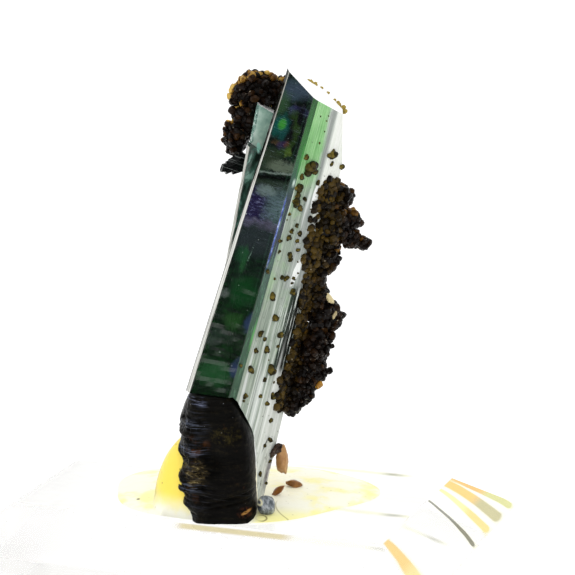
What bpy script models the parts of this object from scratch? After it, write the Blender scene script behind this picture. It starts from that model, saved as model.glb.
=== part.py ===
# A vivianite crystal specimen: a leaning green prism with two smaller crystals grown on its
# back, brown siderite crusts on its shoulder and flank, a dark broken root, and the clear
# bevelled block that it is stuck to with a puddle of yellow mounting wax.
# Metres, +Z up. The origin is the middle of the block's underside.

import math
import random

import bmesh
import bpy
from mathutils import Euler, Matrix, Vector, noise

MM = 0.001
GAP = 0.05 * MM  # left between pieces that touch

# The clear block
BLOCK_LENGTH = 39.0 * MM
BLOCK_DEPTH = 26.8 * MM
BLOCK_HEIGHT = 10.0 * MM
BEVEL_RUN = 4.4 * MM
BEVEL_DROP = 3.0 * MM
CORNER_CUT = 0.4 * MM

# The crystal stands on the block here, turned and leaning
SPECIMEN_TURN = math.radians(19.5)
CRYSTAL_LEAN = math.radians(14.9)
CRYSTAL_FOOT = Vector((0.42 * MM, -6.4 * MM, BLOCK_HEIGHT))

# Main prism: its section, seen from above, x across and y away from the front, in units that
# SECTION_SCALE turns into a size at the foot. The narrow side is the dark front face, and the
# long side from BROAD_START to BROAD_END is the striated cleavage face.
PRISM_LENGTH = 39.0 * MM
PRISM_TAPER = 0.632  # section size at the far end, as a share of the foot's
SECTION_SCALE = 1.21 * MM
NARROW_START = Vector((-3.60, -1.24))
NARROW_END = Vector((-0.95, -2.60))
BROAD_START = Vector((-0.44, -2.35))
BROAD_BEND = Vector((1.56, -0.42))
BROAD_END = Vector((3.16, 1.35))
BACK_CORNERS = (Vector((0.95, 2.55)), Vector((0.10, 2.70)), Vector((-3.84, -0.60)))
STRIATIONS_BEFORE_BEND = 4
STRIATIONS_AFTER_BEND = 4
STRIATION_DEPTH = 0.07

# The termination is one sloping plane and a steep facet on the right
TOP_HEIGHT = 33.3 * MM  # where the plane crosses the prism's centre line
TOP_FALL = -0.50  # rise per unit across
TOP_BACK_RISE = 0.125  # rise per unit towards the back
STEEP_FACET_REACH = 10.03 * MM

# Smaller crystals on the back left: place beside the main one's axis, top and its slope, half
# sizes, and lean against the main crystal (mm and degrees)
SHORT_SIDE = {"at": (-1.19, 0.90), "top": 28.1, "fall": -0.55, "half": (1.05, 0.95), "tilt": -4.8}
TALL_SIDE = {"at": (-1.10, 2.10), "top": 31.2, "fall": -0.15, "half": (1.20, 0.95), "tilt": -4.4}
SIDE_CRYSTALS = {"short_side": SHORT_SIDE, "tall_side": TALL_SIDE}
SIDE_SECTION = ((-1, -0.5), (-0.45, -1), (1, -0.45), (1, 0.6), (0.4, 1), (-1, 0.45))
SIDE_START = 9.0 * MM
SIDE_TAPER = 0.86

# The broken root, in its own upright frame: height, left edge, right edge (mm)
ROOT_FOOT = Vector((1.69 * MM, -5.95 * MM, BLOCK_HEIGHT))
ROOT_OUTLINE = (
    (0.05, -2.80, 2.30),
    (0.72, -2.62, 2.26),
    (1.27, -3.17, 2.22),
    (2.46, -3.56, 2.18),
    (4.03, -3.55, 2.16),
    (5.21, -3.27, 2.08),
    (6.39, -3.62, 1.97),
    (7.17, -3.33, 1.77),
    (7.56, -3.68, 1.60),
    (8.35, -3.56, 1.27),
    (8.90, -3.42, 1.03),
    (9.51, -2.98, 0.80),
    (9.86, -2.80, 0.50),
)
ROOT_FRONT = -3.00 * MM
ROOT_BACK = 2.90 * MM
ROOT_SIDES = 24
ROOT_ROUGHNESS = 0.24 * MM
ROOT_CLEARANCE = 0.12 * MM  # between the root and the wax round it
STRIP_FOOT = 0.45 * MM  # the clear strip beside the root ends this high above the block, in the wax

# Siderite crusts: lobes across, back and along the main crystal, and their half sizes (mm)
CROWN_LOBES = (
    (-4.40, 3.10, 32.20, 1.50, 1.50, 1.25),
    (-3.00, 3.20, 32.50, 1.15, 1.30, 0.90),
    (-5.75, 3.10, 30.10, 0.55, 0.60, 0.35),
    (-4.90, 3.20, 29.90, 1.00, 1.20, 1.60),
    (-5.45, 3.00, 28.40, 0.92, 1.10, 1.20),
    (-5.25, 2.80, 27.30, 0.60, 0.70, 0.42),
)
FLANK_LOBES = (
    (3.20, 1.90, 26.15, 0.95, 1.10, 0.80),
    (2.15, 0.75, 25.70, 0.70, 0.80, 1.20),
    (3.00, 1.70, 23.60, 1.50, 1.45, 1.85),
    (4.40, 2.20, 24.45, 0.85, 0.90, 0.70),
    (5.00, 2.40, 23.05, 0.75, 0.80, 0.62),
    (6.00, 2.40, 22.95, 0.45, 0.50, 0.48),
    (2.20, 0.75, 21.70, 0.75, 0.80, 1.15),
    (3.40, 1.90, 21.20, 1.05, 1.20, 1.35),
    (3.25, 1.80, 19.40, 0.60, 0.90, 0.75),
    (3.50, 1.90, 18.30, 0.80, 1.10, 0.90),
    (4.30, 2.20, 17.00, 1.10, 1.20, 1.30),
    (5.30, 2.40, 16.70, 0.60, 0.80, 0.80),
    (4.30, 2.10, 14.50, 1.30, 1.40, 1.55),
    (4.45, 2.20, 12.40, 1.40, 1.40, 1.40),
    (4.10, 2.00, 10.60, 1.10, 1.20, 1.15),
    (3.80, 1.90, 9.50, 0.65, 0.90, 0.75),
)
CROWN_SEED = 4
FLANK_SEED = 4
CRUST_GRAIN = (0.66 * MM, 0.90 * MM)
CRUST_SPACING = 1.30 * MM
CORE_SUBDIVISIONS = 1
GRAIN_FLATTENING = 0.82
LONE_GRAIN_SEED = 11
GRAIN_SEATING = 0.72  # a lone grain's edge length, as a share of the width that shows

# Lone grains on the cleavage face: height along the prism, share of the way across, width (mm)
FACE_GRAINS = (
    (29.3, 0.66, 0.62), (28.4, 0.96, 0.46), (28.9, 0.08, 0.46), (28.2, 0.24, 1.00), (27.4, 0.10, 0.46),
    (26.6, 0.09, 0.62), (25.5, 0.13, 0.77), (25.1, 0.24, 0.62), (23.2, 0.19, 0.46), (23.1, 0.39, 0.54),
    (22.7, 0.13, 0.54), (21.4, 0.30, 0.54), (19.6, 0.35, 0.54), (18.5, 0.54, 0.62), (18.1, 0.16, 0.69),
    (16.5, 0.32, 0.69), (15.2, 0.12, 0.62), (15.1, 0.51, 0.62), (13.9, 0.33, 0.62), (12.3, 0.12, 0.69),
    (12.3, 0.51, 0.92), (11.5, 0.44, 0.46), (10.2, 0.15, 0.46), (10.2, 0.68, 0.62), (9.6, 0.60, 0.46),
    (8.2, 0.77, 0.46), (6.6, 0.85, 0.46), (3.8, 0.82, 0.46),
)
# Grains along the back edge of the termination: share of the way from left to right, width (mm)
RIM_GRAINS = ((0.47, 0.42), (0.55, 0.56), (0.64, 0.40), (0.80, 0.40), (0.90, 0.56), (0.96, 0.62))

# A tan splinter and the dark piece that holds it to the crystal's right edge
SPLINTER_PIECES = (
    {"at": (4.35, 1.75, 5.05), "half": (0.52, 0.42, 1.28), "turn": (4, -20, 10)},
    {"at": (3.42, 1.50, 5.75), "half": (0.55, 0.50, 0.55), "turn": (10, 30, 0)},
)

# The small dark crystal on the left
DARK_LENGTH = 2.1 * MM
DARK_HALF = (0.44 * MM, 0.36 * MM)
DARK_CENTRE = Vector((-5.00, 1.45, 26.52))
DARK_TURN = Euler((math.radians(12), math.radians(-128), 0))

# Mounting wax, in the root's frame
PUDDLE_CENTRE = Vector((1.0 * MM, 5.30 * MM))
PUDDLE_HALF = (10.3 * MM, 7.55 * MM)
PUDDLE_RISE = 0.75 * MM
PUDDLE_SIDES = 36
PUDDLE_STEPS = 5
MOUND_CENTRE = Vector((-1.85 * MM, 1.1 * MM))
MOUND_HALF = (3.85 * MM, 3.3 * MM)
MOUND_RISE = 6.3 * MM

# Loose bits caught in the wax, in the root's frame: centre, half sizes (mm), turn (degrees)
CHIPS = {
    "siderite_chip_flat": {"at": (5.05, 4.75, 0.92), "half": (0.72, 0.46, 0.30), "turn": (8, 14, 8)},
    "siderite_chip_leaf": {"at": (3.55, 3.35, 1.00), "half": (0.64, 0.40, 0.24), "turn": (10, -38, 0)},
}
NODULE_CENTRE = Vector((2.98 * MM, -1.2 * MM, 1.00 * MM))
NODULE_RADIUS = 0.68 * MM


def remove_everything():
    for obj in list(bpy.data.objects):
        bpy.data.objects.remove(obj)


def material(name, colour, roughness, metallic=0.0, transmission=0.0, ior=1.5):
    made = bpy.data.materials.new(name)
    made.use_nodes = True
    shader = made.node_tree.nodes["Principled BSDF"]
    shader.inputs["Base Color"].default_value = (*colour, 1.0)
    shader.inputs["Roughness"].default_value = roughness
    shader.inputs["Metallic"].default_value = metallic
    shader.inputs["Transmission Weight"].default_value = transmission
    shader.inputs["IOR"].default_value = ior
    made.diffuse_color = (*colour, 1.0)
    return made


def add_object(name, bm, parent=None, finish=None):
    bmesh.ops.recalc_face_normals(bm, faces=bm.faces[:])
    mesh = bpy.data.meshes.new(name)
    bm.to_mesh(mesh)
    bm.free()
    obj = bpy.data.objects.new(name, mesh)
    bpy.context.scene.collection.objects.link(obj)
    obj.parent = parent
    if finish is not None:
        mesh.materials.append(finish)
    return obj


def add_frame(name, location, rotation):
    frame = bpy.data.objects.new(name, None)
    bpy.context.scene.collection.objects.link(frame)
    frame.location = location
    frame.rotation_euler = rotation
    return frame


def as_cutter(obj):
    obj.hide_render = True
    obj.display_type = "WIRE"
    return obj


def boolean(obj, other, operation, self_crossing=False):
    modifier = obj.modifiers.new(f"{operation.lower()} {other.name}", "BOOLEAN")
    modifier.operation = operation
    modifier.object = other
    modifier.solver = "EXACT"
    modifier.use_self = self_crossing


def linked_faces(first):
    """Every face that can be reached from one face over shared edges."""
    reached, waiting = {first}, [first]
    while waiting:
        for edge in waiting.pop().edges:
            for face in edge.link_faces:
                if face not in reached:
                    reached.add(face)
                    waiting.append(face)
    return reached


def keep_largest_body(obj):
    """Applies an object's modifiers and drops the crumbs that its cuts have left loose."""
    depsgraph = bpy.context.evaluated_depsgraph_get()
    depsgraph.update()
    mesh = bpy.data.meshes.new_from_object(obj.evaluated_get(depsgraph))
    obj.modifiers.clear()
    bm = bmesh.new()
    bm.from_mesh(mesh)
    bodies, left = [], set(bm.faces)
    while left:
        body = linked_faces(next(iter(left)))
        bodies.append(body)
        left -= body
    largest = max(bodies, key=len)
    crumbs = [face for face in bm.faces if face not in largest]
    bmesh.ops.delete(bm, geom=crumbs, context="FACES")
    bm.to_mesh(mesh)
    bm.free()
    obj.data = mesh


def loft(bm, rings):
    """A closed skin through rings of the same number of points, with a face over each end."""
    rows = [[bm.verts.new(point) for point in ring] for ring in rings]
    count = len(rows[0])
    for low, high in zip(rows, rows[1:]):
        for i in range(count):
            j = (i + 1) % count
            bm.faces.new((low[i], low[j], high[j], high[i]))
    bm.faces.new(rows[0])
    bm.faces.new(rows[-1])


def cut_above(bm, point, normal):
    """Removes what lies beyond a plane, and closes the cut with one face."""
    geometry = bm.verts[:] + bm.edges[:] + bm.faces[:]
    cut = bmesh.ops.bisect_plane(bm, geom=geometry, plane_co=point, plane_no=normal, clear_outer=True)
    edges = [item for item in cut["geom_cut"] if isinstance(item, bmesh.types.BMEdge)]
    bmesh.ops.contextual_create(bm, geom=edges)


def rectangle_ring(half_x, half_y, z, corner):
    """An upright rectangle's ring with its corners cut off."""
    ring = []
    for sx, sy in ((1, -1), (1, 1), (-1, 1), (-1, -1)):
        along = Vector((half_x * sx, (half_y - corner) * sy, z))
        across = Vector(((half_x - corner) * sx, half_y * sy, z))
        ring += [across, along] if sx * sy < 0 else [along, across]
    return ring


def make_block(finish):
    half_x, half_y = BLOCK_LENGTH / 2, BLOCK_DEPTH / 2
    shoulder = BLOCK_HEIGHT - BEVEL_DROP
    bm = bmesh.new()
    loft(
        bm,
        [
            rectangle_ring(half_x, half_y, 0.0, CORNER_CUT),
            rectangle_ring(half_x, half_y, shoulder, CORNER_CUT),
            rectangle_ring(half_x - BEVEL_RUN, half_y - BEVEL_RUN, BLOCK_HEIGHT, CORNER_CUT),
        ],
    )
    return add_object("acrylic_block", bm, finish=finish)


def striated(start, end, count):
    """Points along a side that steps in and out, as the grooves of a cleavage face do."""
    outward = Vector(((end - start).y, -(end - start).x)).normalized()
    points = []
    for i in range(count):
        depth = STRIATION_DEPTH * (0.35 + 0.65 * ((i * 7) % 5) / 4) * (i % 2)
        for share in ((i + 0.06) / count, (i + 0.94) / count):
            points.append(start.lerp(end, share) - outward * depth)
    return points


def main_section():
    return [
        NARROW_START,
        NARROW_END,
        BROAD_START,
        *striated(BROAD_START, BROAD_BEND, STRIATIONS_BEFORE_BEND)[1:],
        *striated(BROAD_BEND, BROAD_END, STRIATIONS_AFTER_BEND)[1:],
        *BACK_CORNERS,
    ]


def plain_section():
    return [NARROW_START, NARROW_END, BROAD_START, BROAD_BEND, BROAD_END, *BACK_CORNERS]


def section_at(height):
    """How large the main prism's section is at a height along it, as a length per drawn unit."""
    return SECTION_SCALE * (1 - (1 - PRISM_TAPER) * height / PRISM_LENGTH)


def top_height(x, y):
    """The termination plane's height along the prism above a point of its section."""
    return TOP_HEIGHT + TOP_FALL * x + TOP_BACK_RISE * y


def main_prism_mesh(section, grown):
    """The tapering prism, cut by its sloping termination and its steep right facet."""
    rings = []
    for height in (-2.0 * MM, PRISM_LENGTH):
        scale = section_at(height)
        rings.append(
            [
                Vector((p.x * scale, p.y * scale, height)) + Vector((p.x, p.y, 0)).normalized() * grown
                for p in section
            ]
        )
    bm = bmesh.new()
    loft(bm, rings)
    top_normal = Vector((-TOP_FALL, -TOP_BACK_RISE, 1.0)).normalized()
    cut_above(bm, Vector((0, 0, TOP_HEIGHT)) + top_normal * grown, top_normal)
    steep_normal = Vector((math.cos(CRYSTAL_LEAN), 0, math.sin(CRYSTAL_LEAN)))
    cut_above(bm, steep_normal * (STEEP_FACET_REACH + grown), steep_normal)
    return bm


def side_crystal_mesh(spec, grown):
    """A small tapering prism with a six-sided section and a sloping top."""
    half_x, half_y = (value * MM + grown for value in spec["half"])
    top = spec["top"] * MM
    rings = []
    for height, scale in ((SIDE_START, 1.0), (top + 4 * MM, SIDE_TAPER)):
        rings.append([Vector((x * half_x * scale, y * half_y * scale, height)) for x, y in SIDE_SECTION])
    bm = bmesh.new()
    loft(bm, rings)
    normal = Vector((-spec["fall"], -TOP_BACK_RISE, 1.0)).normalized()
    cut_above(bm, Vector((0, 0, top)) + normal * grown, normal)
    tilt = Matrix.Rotation(math.radians(spec["tilt"]), 4, "Y")
    place = Matrix.Translation((spec["at"][0] * MM, spec["at"][1] * MM, 0.0))
    bmesh.ops.transform(bm, matrix=place @ tilt, verts=bm.verts[:])
    return bm


def add_grain(bm, centre, edge, turn):
    """A flattened rhombohedron: a cube turned to stand on a corner and squashed down."""
    stand = Vector((1, 1, 1)).rotation_difference(Vector((0, 0, 1))).to_matrix()
    squash = Matrix.Diagonal((1.0, 1.0, GRAIN_FLATTENING))
    matrix = Matrix.Translation(centre) @ (turn.to_matrix() @ squash @ stand).to_4x4()
    bmesh.ops.create_cube(bm, size=edge, matrix=matrix)


def random_turn(rng):
    return Euler([rng.uniform(0, math.tau) for _ in range(3)])


def face_point(height, share):
    """A point on the cleavage face, this far along the prism and across the face."""
    scale = section_at(height)
    flat = BROAD_START.lerp(BROAD_END, share) * scale
    return Vector((flat.x, flat.y, height))


def rim_point(share):
    """A point on the termination's back edge, from its left end to its right end."""
    left, middle, right = BACK_CORNERS[2], BACK_CORNERS[1], BROAD_END
    flat = left.lerp(middle, share / 0.55) if share < 0.55 else middle.lerp(right, (share - 0.55) / 0.45)
    flat = flat * section_at(TOP_HEIGHT)
    return Vector((flat.x, flat.y, top_height(flat.x, flat.y)))


def make_grains(frame, finish):
    """Every lone siderite grain that sits on the main crystal, in one helper mesh."""
    rng = random.Random(LONE_GRAIN_SEED)
    bm = bmesh.new()
    for height, share, width in FACE_GRAINS:
        add_grain(bm, face_point(height * MM, share), width * GRAIN_SEATING * MM, random_turn(rng))
    for share, width in RIM_GRAINS:
        add_grain(bm, rim_point(share), width * GRAIN_SEATING * MM, random_turn(rng))
    return as_cutter(add_object("grain_helper", bm, frame, finish))


def make_splinter(frame, finish):
    """The tan splinter with the dark piece that joins it to the crystal."""
    bm = bmesh.new()
    for spec in SPLINTER_PIECES:
        turn = Euler([math.radians(angle) for angle in spec["turn"]])
        place = Matrix.Translation(Vector(spec["at"]) * MM) @ turn.to_matrix().to_4x4()
        lens = chip_mesh(spec["half"], 0.0)
        bmesh.ops.transform(lens, matrix=place, verts=lens.verts[:])
        piece = bpy.data.meshes.new("splinter_piece")
        lens.to_mesh(piece)
        lens.free()
        bm.from_mesh(piece)
    return as_cutter(add_object("splinter_helper", bm, frame, finish))


def root_edge(height, side):
    """The root's left (1) or right (2) edge at a height, between the outline's points."""
    rows = ROOT_OUTLINE
    height = min(max(height, rows[0][0]), rows[-1][0])
    for low, high in zip(rows, rows[1:]):
        if height <= high[0]:
            share = (height - low[0]) / (high[0] - low[0])
            return low[side] + (high[side] - low[side]) * share
    return rows[-1][side]


def root_ring(height):
    """A squarish ring between the root's edges, roughened all round but on its right side."""
    left, right = root_edge(height, 1) * MM, root_edge(height, 2) * MM
    middle, half = (left + right) / 2, (right - left) / 2
    depth_middle, depth_half = (ROOT_FRONT + ROOT_BACK) / 2, (ROOT_BACK - ROOT_FRONT) / 2
    ring = []
    for i in range(ROOT_SIDES):
        angle = math.tau * i / ROOT_SIDES
        x = middle + half * math.copysign(abs(math.cos(angle)) ** 0.55, math.cos(angle))
        y = depth_middle + depth_half * math.copysign(abs(math.sin(angle)) ** 0.62, math.sin(angle))
        ledge = noise.noise(Vector((x / MM * 0.35, y / MM * 0.35, height * 1.9)))
        crumb = noise.noise(Vector((x / MM * 1.3 + 9, y / MM * 1.3, height * 1.1)))
        push = ROOT_ROUGHNESS * (1.1 * ledge + 0.7 * crumb - 0.25)
        x += push * math.cos(angle)
        y += push * math.sin(angle) * 1.4
        ring.append(Vector((min(x, right - 0.01 * MM), y, height * MM)))
    return ring


def root_heights():
    """The outline's heights and those halfway between them."""
    heights = [row[0] for row in ROOT_OUTLINE]
    return sorted(heights + [(low + high) / 2 for low, high in zip(heights, heights[1:])])


def make_root(frame, finish):
    bm = bmesh.new()
    loft(bm, [root_ring(height) for height in root_heights()])
    return add_object("broken_root", bm, frame, finish)


def make_root_space(frame, clearance):
    """All the room left of the root's right edge and below its top, which the crystal has lost."""
    far_left, low, deep = -12 * MM, -3 * MM, 9 * MM
    top = ROOT_OUTLINE[-1][0] * MM + clearance
    profile = [(far_left, low), (ROOT_OUTLINE[0][2] * MM + clearance, low)]
    profile += [(row[2] * MM + clearance, row[0] * MM) for row in ROOT_OUTLINE]
    profile[-1] = (ROOT_OUTLINE[-1][2] * MM + clearance, top)
    profile += [(far_left, top)]
    bm = bmesh.new()
    loft(bm, [[Vector((x, y, z)) for x, z in profile] for y in (-deep, deep)])
    return as_cutter(add_object("root_space", bm, frame))


def make_strip_floor(frame, height):
    """A slab that ends the crystal's clear strip a little above the block."""
    bm = bmesh.new()
    bmesh.ops.create_cube(bm, size=1.0)
    bmesh.ops.scale(bm, vec=(30 * MM, 30 * MM, 6 * MM), verts=bm.verts[:])
    bmesh.ops.translate(bm, vec=(0, 0, height - 3 * MM), verts=bm.verts[:])
    return as_cutter(add_object("strip_floor", bm, frame))


def make_vivianite(frame, root_frame, finish, grain_finish, chip_finish):
    crystal = add_object("vivianite", main_prism_mesh(main_section(), 0.0), frame, finish)
    for name, spec in SIDE_CRYSTALS.items():
        helper = as_cutter(add_object(name, side_crystal_mesh(spec, 0.0), frame))
        boolean(crystal, helper, "UNION")
    boolean(crystal, make_root_space(root_frame, GAP), "DIFFERENCE")
    boolean(crystal, make_strip_floor(root_frame, STRIP_FOOT), "DIFFERENCE")
    boolean(crystal, make_grains(frame, grain_finish), "UNION", self_crossing=True)
    boolean(crystal, make_splinter(frame, chip_finish), "UNION", self_crossing=True)
    keep_largest_body(crystal)


def make_crystal_cutters(frame):
    """The main and side crystals grown by the gap, which hollow out the crusts behind them."""
    cutters = [as_cutter(add_object("main_cutter", main_prism_mesh(plain_section(), GAP), frame))]
    for name, spec in SIDE_CRYSTALS.items():
        cutters.append(as_cutter(add_object(name + "_cutter", side_crystal_mesh(spec, GAP), frame)))
    return cutters


def inside_lobe(point, lobe, shrink):
    x, y, z, half_x, half_y, half_z = lobe
    reach = Vector(((point.x - x) / half_x, (point.y - y) / half_y, (point.z - z) / half_z))
    return reach.length < shrink


def ellipsoid_area(half_x, half_y, half_z):
    """The area of an ellipsoid, by the usual power mean of its three sections."""
    power = 1.6
    sections = (half_x * half_y, half_x * half_z, half_y * half_z)
    return 4 * math.pi * (sum(section**power for section in sections) / 3) ** (1 / power)


def lobe_points(lobe, rng):
    """Points spread evenly over an ellipsoid by the golden angle."""
    centre, half = Vector(lobe[:3]), Vector(lobe[3:])
    count = max(6, round(ellipsoid_area(*half) / (CRUST_SPACING / MM) ** 2))
    golden = math.pi * (3 - math.sqrt(5))
    phase = rng.uniform(0, math.tau)
    for i in range(count):
        level = 1 - 2 * (i + 0.5) / count
        round_by = math.sqrt(1 - level * level)
        angle = golden * i + phase
        yield centre + half * Vector((round_by * math.cos(angle), round_by * math.sin(angle), level))


def make_crust(name, lobes, frame, finish, cutters, seed):
    """Lobes covered in grains, all joined, and hollowed where the crystals pass through."""
    rng = random.Random(seed)
    core = bmesh.new()
    for x, y, z, half_x, half_y, half_z in lobes:
        shape = Matrix.Translation(Vector((x, y, z)) * MM) @ Matrix.Diagonal((half_x, half_y, half_z, 1))
        bmesh.ops.create_icosphere(core, subdivisions=CORE_SUBDIVISIONS, radius=MM, matrix=shape)
    grains = bmesh.new()
    for index, lobe in enumerate(lobes):
        others = lobes[:index] + lobes[index + 1 :]
        for point in lobe_points(lobe, rng):
            if any(inside_lobe(point, other, 0.97) for other in others):
                continue
            add_grain(grains, point * MM, rng.uniform(*CRUST_GRAIN), random_turn(rng))
    crust = add_object(name, core, frame, finish)
    helper = as_cutter(add_object(name + "_grains", grains, frame))
    boolean(crust, helper, "UNION", self_crossing=True)
    for cutter in cutters:
        boolean(crust, cutter, "DIFFERENCE")
    keep_largest_body(crust)


def dark_crystal_mesh(grown):
    """A short prism with cut corners and a chisel end."""
    half_x, half_y = (half + grown for half in DARK_HALF)
    section = [(-1, -0.6), (-0.6, -1), (0.7, -1), (1, -0.7), (1, 0.7), (0.6, 1), (-0.7, 1), (-1, 0.6)]
    bm = bmesh.new()
    low, high = -DARK_LENGTH / 2 - grown, DARK_LENGTH / 2 + grown
    loft(bm, [[Vector((x * half_x, y * half_y, z)) for x, y in section] for z in (low, high)])
    cut_above(bm, Vector((0, 0, high - 0.18 * MM)), Vector((0.5, 0, 1)).normalized())
    return bm


def make_dark_crystal(frame, finish, cutters):
    """The dark prism, cut where it meets the side crystal, and the room that it needs."""
    crystal = add_object("dark_crystal", dark_crystal_mesh(0.0), frame, finish)
    space = as_cutter(add_object("dark_crystal_space", dark_crystal_mesh(GAP), frame))
    for obj in (crystal, space):
        obj.location = DARK_CENTRE * MM
        obj.rotation_euler = DARK_TURN
    for cutter in cutters:
        boolean(crystal, cutter, "DIFFERENCE")
    return space


def puddle_ring(share, rise):
    """An ellipse of the puddle with a wavy rim, at its share of the way out."""
    ring = []
    for i in range(PUDDLE_SIDES):
        angle = math.tau * i / PUDDLE_SIDES
        wave = 1 + 0.045 * math.sin(3 * angle + 0.6) + 0.03 * math.sin(5 * angle + 2.1)
        ring.append(
            Vector(
                (
                    PUDDLE_CENTRE.x + PUDDLE_HALF[0] * share * wave * math.cos(angle),
                    PUDDLE_CENTRE.y + PUDDLE_HALF[1] * share * wave * math.sin(angle),
                    rise,
                )
            )
        )
    return ring


def make_wax(frame, finish, cutters):
    """A low puddle with a mound against the root, cut by all that stands in it."""
    bm = bmesh.new()
    rings = [puddle_ring(1.0, GAP)]
    for step in range(1, PUDDLE_STEPS + 1):
        angle = math.pi / 2 * step / (PUDDLE_STEPS + 1)
        rings.append(puddle_ring(math.cos(angle), GAP + PUDDLE_RISE * math.sin(angle) ** 1.3))
    loft(bm, rings)
    wax = add_object("mounting_wax", bm, frame, finish)
    mound = bmesh.new()
    place = Matrix.Translation((MOUND_CENTRE.x, MOUND_CENTRE.y, 0))
    shape = place @ Matrix.Diagonal((*MOUND_HALF, MOUND_RISE, 1))
    bmesh.ops.create_icosphere(mound, subdivisions=3, radius=1.0, matrix=shape)
    cut_above(mound, Vector((0, 0, GAP * 1.5)), Vector((0, 0, -1)))
    boolean(wax, as_cutter(add_object("wax_mound", mound, frame)), "UNION")
    for cutter in cutters:
        boolean(wax, cutter, "DIFFERENCE")
    keep_largest_body(wax)


def chip_mesh(half, grown):
    """A lens-shaped splinter: an icosphere drawn out to its half sizes, with blunt ends."""
    bm = bmesh.new()
    size = Matrix.Diagonal((*(value * MM + grown for value in half), 1))
    bmesh.ops.create_icosphere(bm, subdivisions=2, radius=1.0, matrix=size)
    return bm


def make_chips(frame, finish):
    """The chips, and the room that each needs in the wax."""
    spaces = []
    for name, spec in CHIPS.items():
        chip = add_object(name, chip_mesh(spec["half"], 0.0), frame, finish)
        space = as_cutter(add_object(name + "_space", chip_mesh(spec["half"], GAP), frame))
        for obj in (chip, space):
            obj.location = Vector(spec["at"]) * MM
            obj.rotation_euler = Euler([math.radians(angle) for angle in spec["turn"]])
        spaces.append(space)
    return spaces


def nodule_mesh(grown):
    bm = bmesh.new()
    bmesh.ops.create_icosphere(bm, subdivisions=2, radius=NODULE_RADIUS + grown)
    bmesh.ops.scale(bm, vec=(1.05, 0.95, 1.15), verts=bm.verts[:])
    return bm


def make_nodule(frame, finish):
    """The nodule, and the room that it needs in the wax."""
    nodule = add_object("grey_nodule", nodule_mesh(0.0), frame, finish)
    space = as_cutter(add_object("nodule_space", nodule_mesh(GAP), frame))
    for obj in (nodule, space):
        obj.location = NODULE_CENTRE
    return space


def make_root_cutter(frame):
    """The root grown sideways, and carried on below its foot."""
    bm = bmesh.new()
    rings = []
    for height in root_heights():
        ring = root_ring(height)
        middle = sum(ring, Vector()) / len(ring)
        rings.append([point + (point - middle).normalized() * ROOT_CLEARANCE for point in ring])
    foot = [Vector((point.x, point.y, -0.5 * MM)) for point in rings[0]]
    loft(bm, [foot, *rings])
    return as_cutter(add_object("root_cutter", bm, frame))


def make_strip_cutter(frame, root_frame):
    """The main prism grown by the gap, without the part that the root has replaced."""
    strip = as_cutter(add_object("strip_cutter", main_prism_mesh(plain_section(), GAP), frame))
    boolean(strip, make_root_space(root_frame, 0.0), "DIFFERENCE")
    boolean(strip, make_strip_floor(root_frame, STRIP_FOOT - GAP), "DIFFERENCE")
    return strip


def build():
    remove_everything()
    clear = material("clear acrylic", (0.95, 0.97, 0.97), 0.05, transmission=1.0, ior=1.49)
    wax_yellow = material("mounting wax", (0.93, 0.79, 0.33), 0.35)
    green = material("vivianite green", (0.03, 0.16, 0.07), 0.08, ior=1.6)
    brown = material("siderite brown", (0.13, 0.07, 0.02), 0.3)
    tan = material("siderite tan", (0.42, 0.24, 0.07), 0.35)
    black = material("root black", (0.03, 0.025, 0.018), 0.55)
    dark = material("dark crystal", (0.03, 0.035, 0.03), 0.2)
    grey = material("nodule grey", (0.32, 0.34, 0.36), 0.4)

    crystal_frame = add_frame("crystal_frame", CRYSTAL_FOOT, (0, CRYSTAL_LEAN, SPECIMEN_TURN))
    root_frame = add_frame("root_frame", ROOT_FOOT, (0, 0, SPECIMEN_TURN))

    make_block(clear)
    make_vivianite(crystal_frame, root_frame, green, brown, tan)
    make_root(root_frame, black)
    cutters = make_crystal_cutters(crystal_frame)
    dark_space = make_dark_crystal(crystal_frame, dark, cutters)
    make_crust("siderite_crown", CROWN_LOBES, crystal_frame, brown, [*cutters, dark_space], CROWN_SEED)
    make_crust("siderite_flank", FLANK_LOBES, crystal_frame, brown, cutters, FLANK_SEED)
    spaces = [make_nodule(root_frame, grey), *make_chips(root_frame, tan)]
    spaces += [make_root_cutter(root_frame), make_strip_cutter(crystal_frame, root_frame)]
    make_wax(root_frame, wax_yellow, spaces)


build()
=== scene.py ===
# A vivianite crystal specimen on its clear block: the finish of every piece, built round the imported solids.
# Lengths in the dictionaries are millimetres and angles are degrees.
import math

import bpy
import numpy as np
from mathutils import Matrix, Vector


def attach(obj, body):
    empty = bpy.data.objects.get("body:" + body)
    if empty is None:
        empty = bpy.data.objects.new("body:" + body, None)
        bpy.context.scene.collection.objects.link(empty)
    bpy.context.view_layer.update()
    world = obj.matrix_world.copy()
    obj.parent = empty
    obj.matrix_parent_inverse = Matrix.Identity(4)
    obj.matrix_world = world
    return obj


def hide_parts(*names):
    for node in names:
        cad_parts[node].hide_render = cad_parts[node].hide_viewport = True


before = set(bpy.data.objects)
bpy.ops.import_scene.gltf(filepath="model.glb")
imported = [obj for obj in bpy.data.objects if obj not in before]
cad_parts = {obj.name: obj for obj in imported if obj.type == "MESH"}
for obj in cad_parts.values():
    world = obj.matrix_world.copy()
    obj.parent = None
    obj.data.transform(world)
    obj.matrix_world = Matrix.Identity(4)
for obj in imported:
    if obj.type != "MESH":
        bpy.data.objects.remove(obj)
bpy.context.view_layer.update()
mm = 0.001

# Where the specimen stands, and the two frames its pieces are drawn in: across, away and up
stand = {
    "turn": 19.5,
    "crystalFoot": (0.42, -6.40, 10.0),
    "crystalLean": 14.9,
    "rootFoot": (1.69, -5.95, 10.0),
}


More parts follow.
